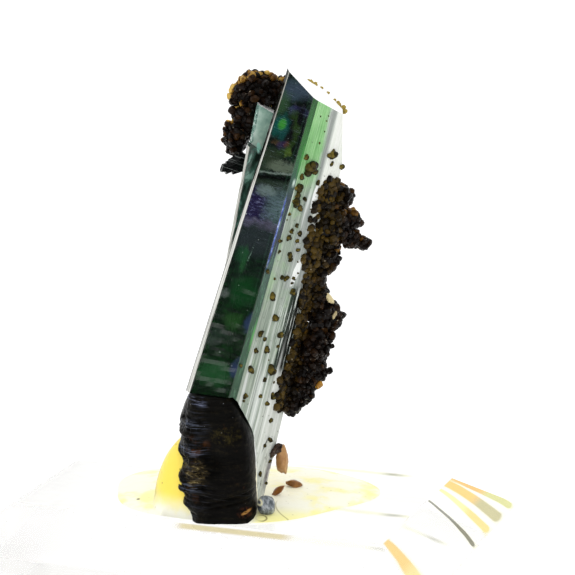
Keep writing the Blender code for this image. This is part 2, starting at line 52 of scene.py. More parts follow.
def axesOf(lean):
    # The frame's three axes in the world: a lean about Y, then the specimen's turn about Z
    cosL, sinL = math.cos(math.radians(lean)), math.sin(math.radians(lean))
    cosT, sinT = math.cos(math.radians(stand["turn"])), math.sin(math.radians(stand["turn"]))
    return np.array([[cosT * cosL, sinT * cosL, -sinL], [-sinT, cosT, 0.0], [cosT * sinL, sinT * sinL, cosL]])


crystalAxes = axesOf(stand["crystalLean"])
rootAxes = axesOf(0.0)


def fromCrystal(points):
    return points @ crystalAxes + np.array(stand["crystalFoot"])


def fromRoot(points):
    return points @ rootAxes + np.array(stand["rootFoot"])


# Shader maths: one wire wraps a socket, and sums on it add Math nodes
class Wire:
    def __init__(self, finish, socket):
        self.finish = finish
        self.socket = socket

    def math(self, operation, *terms):
        return self.finish.node("ShaderNodeMath", {"operation": operation}, dict(enumerate(terms)))

    def __add__(self, other):
        return self.math("ADD", self, other)

    __radd__ = __add__

    def __sub__(self, other):
        return self.math("SUBTRACT", self, other)

    def __rsub__(self, other):
        return self.math("SUBTRACT", other, self)

    def __mul__(self, other):
        return self.math("MULTIPLY", self, other)

    __rmul__ = __mul__

    def __truediv__(self, other):
        return self.math("DIVIDE", self, other)

    def __rtruediv__(self, other):
        return self.math("DIVIDE", other, self)

    def __pow__(self, other):
        return self.math("POWER", self, other)

    def smooth(self, low, high):
        # 0 below low, 1 above high, and a smooth step between them
        sockets = {"Value": self, "From Min": low, "From Max": high}
        return self.finish.node("ShaderNodeMapRange", {"interpolation_type": "SMOOTHSTEP"}, sockets)

    def fall(self, low, high):
        # 1 below low and 0 above high
        return 1 - self.smooth(low, high)

    def near(self, centre, width):
        # 1 at the centre, falling to 0 at that distance on both sides
        return 1 - self.math("ABSOLUTE", self - centre).smooth(0.0, width)

    def equals(self, number, slack=0.4):
        # 1 where the value is that whole number
        return self.math("COMPARE", self, number, slack)


class Finish:
    # A material and its nodes, or those of a world
    def __init__(self, name, holder=None):
        self.material = holder or bpy.data.materials.new(name)
        self.material.use_nodes = True
        self.tree = self.material.node_tree
        self.tree.nodes.clear()

    def node(self, kind, settings=None, sockets=None, out=0):
        # Adds a node: first its settings, then each socket's value or link. Gives the wanted output
        made = self.tree.nodes.new(kind)
        for key, value in (settings or {}).items():
            if key == "stops":
                ramp = made.color_ramp.elements
                while len(ramp) < len(value):
                    ramp.new(0.5)
                for element, (position, colour) in zip(ramp, value):
                    element.position = position
                    element.color = (*colour, 1.0)
            else:
                setattr(made, key, value)
        for key, value in (sockets or {}).items():
            target = made.inputs[key]
            if isinstance(value, Wire):
                self.tree.links.new(value.socket, target)
            elif isinstance(value, tuple) and target.type == "RGBA":
                target.default_value = (*value, 1.0)
            else:
                target.default_value = value
        return Wire(self, made.outputs[out])

    def place(self):
        # The point on the piece, in millimetres
        point = self.node("ShaderNodeTexCoord", out="Object")
        return self.node("ShaderNodeVectorMath", {"operation": "SCALE"}, {0: point, "Scale": 1 / mm})

    def along(self, point, foot, axis):
        # How far a point lies along an axis that starts at the foot
        gap = self.node("ShaderNodeVectorMath", {"operation": "SUBTRACT"}, {0: point, 1: tuple(foot)})
        settings = {"operation": "DOT_PRODUCT"}
        return self.node("ShaderNodeVectorMath", settings, {0: gap, 1: tuple(axis)}, out="Value")

    def vector(self, x, y, z=0.0):
        return self.node("ShaderNodeCombineXYZ", None, {"X": x, "Y": y, "Z": z})

    def noise(self, vector, scale, detail=3.0, rough=0.5, distortion=0.0):
        return self.node("ShaderNodeTexNoise", None, {
            "Vector": vector, "Scale": scale, "Detail": detail, "Roughness": rough, "Distortion": distortion,
        })

    def cells(self, vector, scale):
        # The distance to the nearest of many scattered points
        return self.node("ShaderNodeTexVoronoi", {"feature": "F1"}, {"Vector": vector, "Scale": scale})

    def mix(self, amount, first, second):
        # The second colour laid over the first
        return self.node("ShaderNodeMix", {"data_type": "RGBA"}, {0: amount, 6: first, 7: second}, out=2)

    def ramp(self, value, *stops):
        # Each stop is a place from 0 to 1 and a screen colour
        stops = [(position, rgb(*levels)) for position, *levels in stops]
        return self.node("ShaderNodeValToRGB", {"stops": stops}, {"Fac": value})

    def bump(self, height, strength, distance):
        sockets = {"Height": height, "Strength": strength, "Distance": distance * mm}
        return self.node("ShaderNodeBump", None, sockets)

    def principled(self, **sockets):
        named = {key.replace("_", " "): value for key, value in sockets.items()}
        return self.node("ShaderNodeBsdfPrincipled", None, named)

    def attribute(self, name):
        return self.node("ShaderNodeAttribute", {"attribute_name": name}, out="Fac")

    def show(self, surface, volume=None, kind="ShaderNodeOutputMaterial"):
        output = self.tree.nodes.new(kind)
        self.tree.links.new(surface.socket, output.inputs["Surface"])
        if volume:
            self.tree.links.new(volume.socket, output.inputs["Volume"])
        return self.material


def rgb(*levels):
    # A screen colour, 0 to 255, as the linear colour that shaders take
    return tuple(
        ((level / 255 + 0.055) / 1.055) ** 2.4 if level > 10 else level / 255 / 12.92 for level in levels
    )


def oval(x, y, spot):
    # 0 in an oval's middle and 1 on its rim: squared distances over squared half sizes. The spot is both
    middleX, middleY, halfX, halfY = spot
    return ((x - middleX) / halfX) ** 2.0 + ((y - middleY) / halfY) ** 2.0


def distance(x, y, centre):
    return oval(x, y, (*centre, 1.0, 1.0)) ** 0.5


# Mesh helpers
def gridFaces(rows, columns, first=0):
    # Quads between neighbouring rows and columns of a grid whose last column meets the first
    low = np.arange(rows - 1)[:, None] * columns
    here = np.arange(columns)[None, :]
    there = (here + 1) % columns
    quads = np.stack([low + here, low + there, low + columns + there, low + columns + here], -1)
    return first + quads.reshape(-1, 4)


def fanFaces(first, columns, tip, inward=False):
    # Triangles from a closed row of points to a tip
    here, there = np.arange(columns), (np.arange(columns) + 1) % columns
    low, high = (there, here) if inward else (here, there)
    return np.column_stack([first + low, first + high, np.full(columns, tip)]).tolist()


def putInScene(name, data):
    made = bpy.data.objects.new(name, data)
    bpy.context.scene.collection.objects.link(made)
    return made


def newMesh(name, points, faces, finish, smooth=False, attributes=None, polygons=()):
    # Puts points in millimetres, faces and numbers kept on points or faces into a new mesh
    mesh = bpy.data.meshes.new(name)
    mesh.from_pydata((np.asarray(points) * mm).tolist(), [], [*np.asarray(faces).tolist(), *polygons])
    for key, (domain, values) in (attributes or {}).items():
        layer = mesh.attributes.new(key, "FLOAT", domain)
        layer.data.foreach_set("value", np.asarray(values, np.float32))
    mesh.materials.append(finish)
    mesh.polygons.foreach_set("use_smooth", np.full(len(mesh.polygons), smooth))
    mesh.update()
    return mesh


def addPiece(name, points, faces, finish, nodes, smooth=True, attributes=None, polygons=()):
    # Makes a piece and fastens it to the frame
    mesh = newMesh(name, points, faces, finish, smooth, attributes, polygons)
    piece = putInScene(name, mesh)
    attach(piece, "root")
    if nodes:
        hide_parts(*nodes)
    print("made", name, len(mesh.polygons), "faces")


# Large odd numbers that scatter whole numbers: for x, y, z, the seed and the last mixing
scatterX, scatterY, scatterZ, scatterSeed, scatterMix = 73856093, 19349663, 83492791, 2654435761, 1274126177


def hashed(cells, seed):
    # A repeatable number from 0 to 1 for each whole-number cell
    x, y, z = (cells[..., axis].astype(np.int64) for axis in range(3))
    mixed = (x * scatterX) ^ (y * scatterY) ^ (z * scatterZ) ^ (seed * scatterSeed)
    mixed = (mixed ^ (mixed >> 13)) * scatterMix & 0xFFFFFFFF
    return ((mixed ^ (mixed >> 16)) & 0xFFFF) / 0xFFFF


def hashedSteps(steps, seed):
    # The same for whole numbers along one line
    return hashed(np.stack([steps, steps * 0, steps * 0], -1), seed)


def lumps(points, size, seed, layers=3):
    # Value noise from -1 to 1: random numbers on a lattice, blended smoothly, each layer half the size
    total, weight = 0.0, 0.0
    for layer in range(layers):
        scaled = np.asarray(points) / size * 2**layer
        cell = np.floor(scaled)
        part = scaled - cell
        part = part * part * (3 - 2 * part)
        value = 0.0
        for corner in np.ndindex(2, 2, 2):
            share = np.prod(np.where(np.array(corner), part, 1 - part), axis=-1)
            value = value + share * hashed(cell + np.array(corner), seed + layer)
        total = total + (value * 2 - 1) / 2**layer
        weight += 1 / 2**layer
    return total / weight


# Camera and stage
view = {
    "azimuth": 19.9,
    "elevation": 12.8,
    "width": 12.0,
    "distance": 209.0,
    "target": (4.90, -1.35, 27.0),
}


def setCamera():
    azimuth, elevation = math.radians(view["azimuth"]), math.radians(view["elevation"])
    back = Vector((
        math.sin(azimuth) * math.cos(elevation),
        -math.cos(azimuth) * math.cos(elevation),
        math.sin(elevation),
    ))
    data = bpy.data.cameras.new("camera")
    data.angle = math.radians(view["width"])
    data.clip_start = 0.01
    data.clip_end = 10.0
    camera = putInScene("camera", data)
    camera.location = (Vector(view["target"]) + back * view["distance"]) * mm
    camera.rotation_euler = back.to_track_quat("Z", "Y").to_euler()
    bpy.context.scene.camera = camera


light = {
    "dome": 1.15,
    "front": (0.10, -0.99, 0.10),
    "glossBack": 0.80,
    "glossFront": 0.035,
    "frontEdge": (-0.35, 0.45),
    "skylight": 0.75,
    "skylightEdge": (0.72, 0.92),
    "lampPower": 0.03,
    "lampSize": 50.0,
    "lampPlace": (-120.0, -150.0, 170.0),
}


def setLight():
    # A white dome. The gloss sees it darker: a dark room in front, a grey wall behind and a skylight above
    world = bpy.data.worlds.new("studio")
    bpy.context.scene.world = world
    sky = Finish("studio", world)
    direction = sky.node("ShaderNodeTexCoord", out="Generated")
    sockets = {0: direction, 1: tuple(Vector(light["front"]).normalized())}
    facing = sky.node("ShaderNodeVectorMath", {"operation": "DOT_PRODUCT"}, sockets, out="Value")
    sockets = {0: direction, 1: (0.0, 0.0, 1.0)}
    rise = sky.node("ShaderNodeVectorMath", {"operation": "DOT_PRODUCT"}, sockets, out="Value")
    behind = facing.fall(*light["frontEdge"])
    room = light["glossFront"] + (light["glossBack"] - light["glossFront"]) * behind
    room = room + rise.smooth(*light["skylightEdge"]) * light["skylight"]
    seen = sky.node("ShaderNodeLightPath", out="Is Camera Ray")
    through = sky.node("ShaderNodeLightPath", out="Is Transmission Ray")
    mirrored = sky.node("ShaderNodeLightPath", out="Is Glossy Ray") * (1 - through)
    strength = seen + (1 - seen) * (light["dome"] + mirrored * (room - light["dome"]))
    lit = sky.node("ShaderNodeBackground", None, {"Color": (1.0, 1.0, 1.0), "Strength": strength})
    sky.show(lit, kind="ShaderNodeOutputWorld")
    data = bpy.data.lights.new("lamp", "AREA")
    data.energy = light["lampPower"]
    data.size = light["lampSize"] * mm
    lamp = putInScene("lamp", data)
    lamp.location = Vector(light["lampPlace"]) * mm
    lamp.rotation_euler = (lamp.location - Vector(view["target"]) * mm).to_track_quat("Z", "Y").to_euler()
    bpy.context.scene.view_settings.view_transform = "Standard"


paper = {"half": 3000.0, "level": -0.05, "darkGrain": 0.22, "paleGrain": 0.26, "glow": 0.92}


def addFloor():
    # A large square sheet just under the block; its glow keeps it white
    finish = Finish("white paper")
    grain = finish.noise(finish.place(), 1.5, 4.0)
    colour = finish.mix(grain, (paper["darkGrain"],) * 3, (paper["paleGrain"],) * 3)
    surface = finish.principled(
        Base_Color=colour, Roughness=0.9, Emission_Color=(1.0, 1.0, 1.0), Emission_Strength=paper["glow"],
    )
    half = paper["half"]
    corners = [(-half, -half), (half, -half), (half, half), (-half, half)]
    points = [(*corner, paper["level"]) for corner in corners]
    floor = putInScene("floor", newMesh("floor", points, [(0, 1, 2, 3)], finish.show(surface)))


setCamera()
setLight()
addFloor()
print("stage is set")

# The clear block
block = {
    "length": 39.0,
    "depth": 26.8,
    "height": 10.0,
    "bevelRun": 4.4,
    "bevelDrop": 3.0,
    "cornerCut": 0.12,
    "edgeRound": 0.10,
    "underRim": 0.8,
    "topRim": 1.0,
    "refraction": 1.30,
    "matteUnderside": 0.5,
}

# Soft stripes on the clear bevels, painted refractions of what lies beneath the block: y at the top edge and
# at the bottom edge, half widths, colours
bevelRefractions = [
    (8.75, 11.90, 0.70, 0.80, (244, 196, 122), (222, 222, 158)),
    (7.35, 8.40, 0.90, 1.25, (253, 212, 130), (206, 200, 156)),
    (5.55, 4.85, 0.30, 0.95, (252, 246, 178), (250, 226, 150)),
    (2.60, 0.95, 0.17, 0.44, (150, 150, 142), (146, 144, 124)),
    (-8.30, -11.60, 0.60, 1.75, (248, 214, 140), (250, 232, 166)),
]


def crossed(colour):
    # Glass shows the square root of its colour where light crosses it once, so the tint is the square
    return tuple(channel * channel for channel in rgb(*colour))


def clearAcrylic():
    # Clear and polished, with a matte underside, and soft colours painted on the bevels and the top as
    # refractions of what lies beneath
    clear = Finish("clear acrylic")
    point = clear.place()
    x, y, z = (clear.along(point, (0.0, 0.0, 0.0), axis) for axis in ((1.0, 0, 0), (0, 1.0, 0), (0, 0, 1.0)))
    ripple = clear.noise(point, 0.35, 2.0)
    scratch = clear.noise(point, 9.0, 4.0)
    normal = clear.bump(ripple + scratch * 0.02, 0.12, 0.25)
    tint = clear.mix(clear.noise(point, 0.2), (0.995, 0.995, 0.985), (1.0, 1.0, 1.0))
    topX, topY = block["length"] / 2 - block["bevelRun"], block["depth"] / 2 - block["bevelRun"]
    low = block["height"] - block["bevelDrop"]
    sloping = z.smooth(low - 0.02, low + 0.04)
    down = (x - topX) * (1 / block["bevelRun"])
    bend = (down - down * down) * 2.0 + (ripple - 0.5) * 0.6
    onRight = sloping * x.smooth(topX + 0.02, topX + 0.10)
    # Each stripe is a painted refraction, with a faint pale yellow halo round it
    for top, bottom, thin, thick, near, far in bevelRefractions:
        centre = top + down * (bottom - top) + bend
        gap = (y - centre).math("ABSOLUTE", y - centre) / (thin + down * (thick - thin))
        stripe = clear.mix(down.smooth(0.40, 0.60), crossed(near), crossed(far))
        ending = 1 - (down + gap * gap * 0.05).smooth(0.94, 1.00)
        tint = clear.mix(gap.fall(1.00, 1.55) * onRight * 0.45, tint, crossed((255, 252, 204)))
        tint = clear.mix(gap.fall(0.74, 1.08) * onRight * ending, tint, stripe)
    # A painted refraction: a pale band along the front bevel
    frontDown = (-topY - y) * (1 / block["bevelRun"])
    band = frontDown.smooth(0.02, 0.05) * frontDown.fall(0.11, 0.16)
    band = band * x.smooth(-1.6, -0.6) * x.fall(7.2, 8.8)
    tint = clear.mix(band * sloping, tint, crossed((222, 212, 174)))
    # Painted refractions: a pale yellow line near the back of the top, grey towards its right end
    edge = (y - topY + 0.75 + ripple * 0.3).near(0.0, 0.62)
    edge = edge * x.smooth(0.0, 6.0) * x.fall(11.4, 12.6)
    tint = clear.mix(edge * 0.6, tint, crossed((240, 240, 176)))
    tint = clear.mix(edge * x.near(10.5, 1.5) * 0.85, tint, crossed((140, 142, 124)))
    under = z.fall(0.02, 0.06)
    surface = clear.principled(
        Base_Color=tint, Roughness=under * block["matteUnderside"] + 0.01, IOR=block["refraction"],
        Transmission_Weight=1.0, Normal=normal,
    )
    sockets = {"Color": (0.97, 0.94, 0.82), "Density": 5.0}
    return clear.show(surface, clear.node("ShaderNodeVolumeAbsorption", None, sockets))


def roundedProfile(corners, radius, steps=3):
    # A broken line whose inner corners are replaced by short arcs: points on a quadratic curve at each corner
    corners = [np.array(corner, float) for corner in corners]
    points = [corners[0]]
    for before, here, after in zip(corners, corners[1:], corners[2:]):
        start = here + (before - here) / np.linalg.norm(before - here) * radius
        end = here + (after - here) / np.linalg.norm(after - here) * radius
        for share in np.linspace(0, 1, steps + 1):
            points.append((1 - share) ** 2 * start + 2 * share * (1 - share) * here + share**2 * end)
    return np.array([*points, corners[-1]])


def makeBlock():
    # A rectangle with cut corners carried up a profile of inset and height, closed by flat ends
    profile = roundedProfile(
        [
            (block["underRim"], 0.0),
            (0.0, 0.0),
            (0.0, block["height"] - block["bevelDrop"]),
            (block["bevelRun"], block["height"]),
            (block["bevelRun"] + block["topRim"], block["height"]),
        ],
        block["edgeRound"],
    )
    cut = block["cornerCut"]
    signs = np.array([(1, -1), (1, 1), (-1, 1), (-1, -1)])
    rings = []
    for inset, height in profile:
        halfX, halfY = block["length"] / 2 - inset, block["depth"] / 2 - inset
        ring = []
        for sx, sy in signs:
            pair = [((halfX - cut) * sx, halfY * sy, height), (halfX * sx, (halfY - cut) * sy, height)]
            ring += pair if sx * sy < 0 else pair[::-1]
        rings.append(ring)
    count = len(rings[0])
    points = np.array(rings).reshape(-1, 3)
    faces = gridFaces(len(rings), count)
    bottom = list(range(count))[::-1]
    top = [len(points) - count + i for i in range(count)]
    addPiece(
        "clear_block", points, faces, clearAcrylic(), ["acrylic_block"],
        smooth=False, polygons=[bottom, top],
    )


makeBlock()

# The main crystal and the two smaller ones on its back. The section's points go round from the dark
# front face's left edge, before scale and taper. Each side has its two ends and a number of columns
prism = {
    "scale": 1.21,
    "length": 39.0,
    "taper": 0.632,
    "narrowStart": (-3.60, -1.24),
    "narrowEnd": (-0.95, -2.60),
    "broadStart": (-0.44, -2.35),
    "broadBend": (1.56, -0.42),
    "broadEnd": (3.16, 1.35),
    "backRight": (0.95, 2.55),
    "backMiddle": (0.10, 2.70),
    "backLeft": (-3.84, -0.60),
    "topHeight": 33.3,
    "topFall": -0.50,
    "topBackRise": 0.125,
    "steepReach": 10.03,
    "stripFoot": 0.45,
    "rows": 72,
    "edgeCut": 0.035,
    "grooveDepth": 0.060,
    "grooveSteps": 13,
    "pitDepth": 0.018,
    "sideFade": 25,
    "endFade": 60,
    "rootGap": 0.05,
    "rimSlack": 0.02,
    "footRings": 14,
    "footSearch": (-3.0, 16.0, 1901),
    "rimSearch": (0.02, 0.98, 4001),
}
facets = {
    "front": ("narrowStart", "narrowEnd", 30),
    "bevel": ("narrowEnd", "broadStart", 8),
    "broadLeft": ("broadStart", "broadBend", 64),
    "broadRight": ("broadBend", "broadEnd", 52),
    "rightBack": ("broadEnd", "backRight", 22),
    "back": ("backRight", "backMiddle", 8),
    "leftBack": ("backMiddle", "backLeft", 36),
    "leftStrip": ("backLeft", "narrowStart", 6),
}
otherFacets = ["termination", "steep", "cut", "tall", "short", "tallEdge", "shortEdge", "tallTop", "shortTop"]
facetNumber = {name: index for index, name in enumerate([*facets, *otherFacets])}

# The broken root: its outline's heights with the left and right edge at each, then its parts and patches
root = {
    "outline": [
        (0.05, -2.98, 2.30), (0.72, -3.04, 2.26), (1.27, -3.42, 2.22), (2.13, -3.48, 2.19),
        (2.49, -3.73, 2.18), (3.10, -3.73, 2.17), (4.44, -3.46, 2.13), (5.31, -3.76, 2.07),
        (6.39, -3.54, 1.97), (6.91, -3.80, 1.84), (7.56, -3.58, 1.60), (8.35, -3.31, 1.27),
        (8.90, -3.12, 1.03), (9.51, -2.94, 0.80), (9.86, -2.80, 0.50),
    ],
    "front": -3.00,
    "back": 2.90,
    "rows": 190,
    "columns": 260,
    "foot": 0.05,
    "top": 9.86,
    "squareness": (0.55, 0.62),
    "hollow": (-1.4, 5.4, 0.95, 1.1),
    "hollowDepth": 0.65,
    "lump": (-3.0, 7.7, 0.6, 0.45),
    "lumpHeight": 0.10,
    "lidRings": 20,
    "lidDrop": 0.16,
    "olive": (0.0, 6.9, 1.5, 0.9),
    "sand": (-2.30, 3.9, 0.90, 1.15),
    "rust": (-2.3, 6.1, 1.2, 0.9),
    "tanSpot": (1.50, 0.95, 0.46, 0.17),
    "brownHalo": (1.40, 0.90, 0.70, 0.55),
}
rootHeights, rootLeft, rootRight = np.array(root["outline"]).T


def sideOf(name):
    # The two ends of a side of the section
    return np.array(prism[facets[name][0]]), np.array(prism[facets[name][1]])


def outwardOf(start, end):
    # The unit normal that points out of the section
    return np.array([end[1] - start[1], start[0] - end[0]]) / np.linalg.norm(end - start)


def taperAt(height):
    return prism["scale"] * (1 - (1 - prism["taper"]) * height / prism["length"])


def topOf(across, away):
    # Where a line of the prism meets the sloping termination or the steep facet, whichever is lower
    taper = prism["scale"] * (1 - prism["taper"]) / prism["length"]
    slope = prism["topFall"] * across + prism["topBackRise"] * away
    sloping = (prism["topHeight"] + prism["scale"] * slope) / (1 + taper * slope)
    lean = math.radians(stand["crystalLean"])
    rise = math.sin(lean) - taper * across * math.cos(lean)
    steep = (prism["steepReach"] - math.cos(lean) * across * prism["scale"]) / rise
    return sloping, steep


def footOf(across):
    # The height at which a line of the prism leaves the root's room, or the clear strip's foot above the wax
    lean = math.radians(stand["crystalLean"])
    offset = (np.array(stand["crystalFoot"]) - np.array(stand["rootFoot"])) @ rootAxes.T
    heights = np.linspace(*prism["footSearch"])
    scale = taperAt(heights)
    shape = np.shape(across) + (1,)
    side = np.reshape(across, shape) * scale
    x = offset[0] + math.cos(lean) * side + math.sin(lean) * heights
    z = -math.sin(lean) * side + math.cos(lean) * heights
    inside = np.minimum(np.interp(z, rootHeights, rootRight) - x, root["top"] - z)
    blocked = (inside > -prism["rootGap"]) | (z < prism["stripFoot"])
    last = blocked.shape[-1] - 1 - np.argmax(blocked[..., ::-1], axis=-1)
    return heights[np.minimum(last + 1, len(heights) - 1)]


def sectionColumns():
    # Points along each side of the section, set back from its corners so that each edge has a narrow bevel
    places, numbers, shares = [], [], []
    crossings = steepCrossings()
    for name in facets:
        start, end = sideOf(name)
        margin = prism["edgeCut"] / np.linalg.norm(end - start)
        share = np.linspace(margin, 1 - margin, facets[name][2])
        share = np.sort(np.concatenate([share, crossings.get(name, [])]))
        places.append(start + (end - start) * share[:, None])
        numbers += [facetNumber[name]] * len(share)
        shares.append(share)
    return np.concatenate(places), np.array(numbers), np.concatenate(shares)


def steepCrossings():
    # The shares along the sides at which the termination and the steep facet meet
    found = {}
    for name in facets:
        start, end = sideOf(name)
        share = np.linspace(*prism["rimSearch"])
        sloping, steep = topOf(*(start + (end - start) * share[:, None]).T)
        change = np.flatnonzero(np.diff(np.sign(sloping - steep)))
        if len(change):
            found[name] = share[change]
    return found


def grooves(share, height, seed):
    # How deep the cleavage face is cut: flat steps across it, and finer lines on them that fade along it
    waver = lumps(np.stack([share * 5, height * 0.03, share * 0], -1), 1.0, seed)
    step = hashedSteps(np.floor(share * prism["grooveSteps"] + 0.6 * waver), seed) ** 1.6
    fine = lumps(np.stack([share * 60, height * 0.10, share * 0], -1), 1.0, seed + 5, 2)
    return prism["grooveDepth"] * (0.75 * step + 0.30 * fine)


def makeMainPoints():
    # Each point of the section is carried along its own straight line, which leans in with the taper
    places, numbers, shares = sectionColumns()
    sloping, steep = topOf(*places.T)
    top, foot = np.minimum(sloping, steep), footOf(places[:, 0])
    rise = np.linspace(0, 1, prism["rows"])[:, None]
    height = foot + (top - foot) * rise
    across = np.broadcast_to(places[:, 0], height.shape)
    away = np.broadcast_to(places[:, 1], height.shape)
    depth = np.zeros(height.shape)
    outward = np.zeros((len(places), 2))
    for name in facets:
        here = numbers == facetNumber[name]
        outward[here] = outwardOf(*sideOf(name))
        share = np.broadcast_to(shares[here], height[:, here].shape)
        margin = np.minimum(1, np.minimum(share, 1 - share) * prism["sideFade"])
        if name.startswith("broad") or name == "leftBack":
            depth[:, here] = grooves(share, height[:, here], facetNumber[name]) * margin
        elif name in ("front", "rightBack"):
            point = np.stack([share * 1.2, height[:, here] * 2.2, share * 0], -1)
            depth[:, here] = prism["pitDepth"] * margin * (1 + lumps(point, 1.0, 9))
    flush = np.minimum(1, np.minimum(rise, 1 - rise) * prism["endFade"])
    depth = np.maximum(depth, 0) * flush
    scale = taperAt(height)
    x, y = across * scale - outward[:, 0] * depth, away * scale - outward[:, 1] * depth
    return np.stack([x, y, height], -1), numbers, sloping, steep


def makeMainCrystal(finish):
    # The grid of the sides, closed by two flat facets at the top and by the cap at the foot
    points, numbers, sloping, steep = makeMainPoints()
    rows, columns = points.shape[:2]
    flat = points.reshape(-1, 3)
    rim = (rows - 1) * columns + np.arange(columns)
    level = np.abs(sloping - steep) < prism["rimSlack"]
    slopingRim = rim[(sloping < steep) | level].tolist()
    steepRim = rim[(steep < sloping) | level].tolist()
    foot = footCap(points[0], len(flat))
    return meshOf(
        "main_crystal",
        fromCrystal(np.concatenate([flat, foot["points"]])),
        np.concatenate([gridFaces(rows, columns), foot["faces"]]),
        [slopingRim, steepRim, *foot["fan"]],
        np.concatenate([
            np.tile(numbers, rows - 1),
            np.full(len(foot["faces"]), facetNumber["cut"]),
            [facetNumber["termination"], facetNumber["steep"]],
            np.full(len(foot["fan"]), facetNumber["cut"]),
        ]),
        finish,
    )


def footCap(rim, first):
    # The cut underside: rings shrinking to the middle of the section, each point at its own line's foot
    columns = len(rim)
    scale = taperAt(rim[:, 2])
    section = rim[:, :2] / scale[:, None]
    middle = section.mean(0)
    shares = np.linspace(1, 0, prism["footRings"] + 1)[1:-1]
    inner = middle + (section - middle) * shares[:, None, None]
    height = footOf(inner[..., 0])
    inner = np.concatenate([inner * taperAt(height)[..., None], height[..., None]], -1)
    centreHeight = footOf(middle[:1])
    centre = np.array([[*(middle * taperAt(centreHeight)), centreHeight[0]]])
    here, there = np.arange(columns), (np.arange(columns) + 1) % columns
    joining = np.stack([there, here, first + here, first + there], -1)
    rest = gridFaces(len(shares), columns, first=first)[:, ::-1]
    tip = first + len(shares) * columns
    return {
        "points": np.concatenate([inner.reshape(-1, 3), centre]),
        "faces": np.concatenate([joining, rest]),
        "fan": fanFaces(tip - columns, columns, tip, inward=True),
    }


def meshOf(name, points, faces, polygons, numbers, finish):
    # A crystal before it is joined to the others; its faces know which side of it they belong to
    attributes = {"facet": ("FACE", numbers)}
    return putInScene(name, newMesh(name, points, faces, finish, attributes=attributes, polygons=polygons))


sides = {
    "section": [(-1, -0.66), (-0.84, -0.94), (1, -0.45), (1, 0.6), (0.4, 1), (-1, 0.45)],
    "start": 9.0,
    "taper": 0.86,
    "short": {"at": (-1.19, 0.90), "top": 28.1, "fall": -0.55, "half": (1.05, 0.95), "tilt": -4.8},
    "tall": {"at": (-1.10, 2.10), "top": 31.2, "fall": -0.42, "half": (1.20, 0.95), "tilt": -4.4},
    "columns": 8,
    "rows": 40,
    "edgeMargin": 0.03,
    "beyondTop": 4.0,
    "dent": 0.02,
}


def makeSideCrystal(name, finish):
    # A six-sided section carried up a straight line, shrinking with the taper, and stopped at a sloping plane
    spec = sides[name]
    corners = np.array(sides["section"], float)
    following = np.roll(corners, -1, axis=0)
    share = np.linspace(sides["edgeMargin"], 1 - sides["edgeMargin"], sides["columns"])[None, :, None]
    section = (corners[:, None] + (following - corners)[:, None] * share).reshape(-1, 2)
    columns = len(section)
    reach = spec["top"] + sides["beyondTop"] - sides["start"]
    shrink = (1 - sides["taper"]) / reach
    halfX, halfY = spec["half"]
    slope = spec["fall"] * section[:, 0] * halfX + prism["topBackRise"] * section[:, 1] * halfY
    top = (spec["top"] + slope * (1 + shrink * sides["start"])) / (1 + shrink * slope)
    rise = np.linspace(0, 1, sides["rows"])[:, None]
    height = sides["start"] + (top - sides["start"]) * rise
    scale = 1 - shrink * (height - sides["start"])
    x, y = section[:, 0] * halfX * scale, section[:, 1] * halfY * scale
    dent = sides["dent"] * lumps(np.stack([x * 6, y * 6, height * 0.6], -1), 1.0, 21)
    dent = dent * np.minimum(1, (1 - rise) * 20)
    x, y = x * (1 + dent), y * (1 + dent)
    tilt = math.radians(spec["tilt"])
    points = np.stack([
        math.cos(tilt) * x + math.sin(tilt) * height + spec["at"][0],
        y + spec["at"][1],
        -math.sin(tilt) * x + math.cos(tilt) * height,
    ], -1).reshape(-1, 3)
    rows = sides["rows"]
    ends = [list(range(columns))[::-1], [(rows - 1) * columns + i for i in range(columns)]]
    numbers = np.full((rows - 1) * columns, facetNumber[name])
    left = np.tile(np.arange(columns) < sides["columns"], rows - 1)
    numbers[left] = facetNumber[name + "Edge"]
    numbers = np.concatenate([numbers, [facetNumber[name], facetNumber[name + "Top"]]])
    return meshOf(name + "_side", fromCrystal(points), gridFaces(rows, columns), ends, numbers, finish)
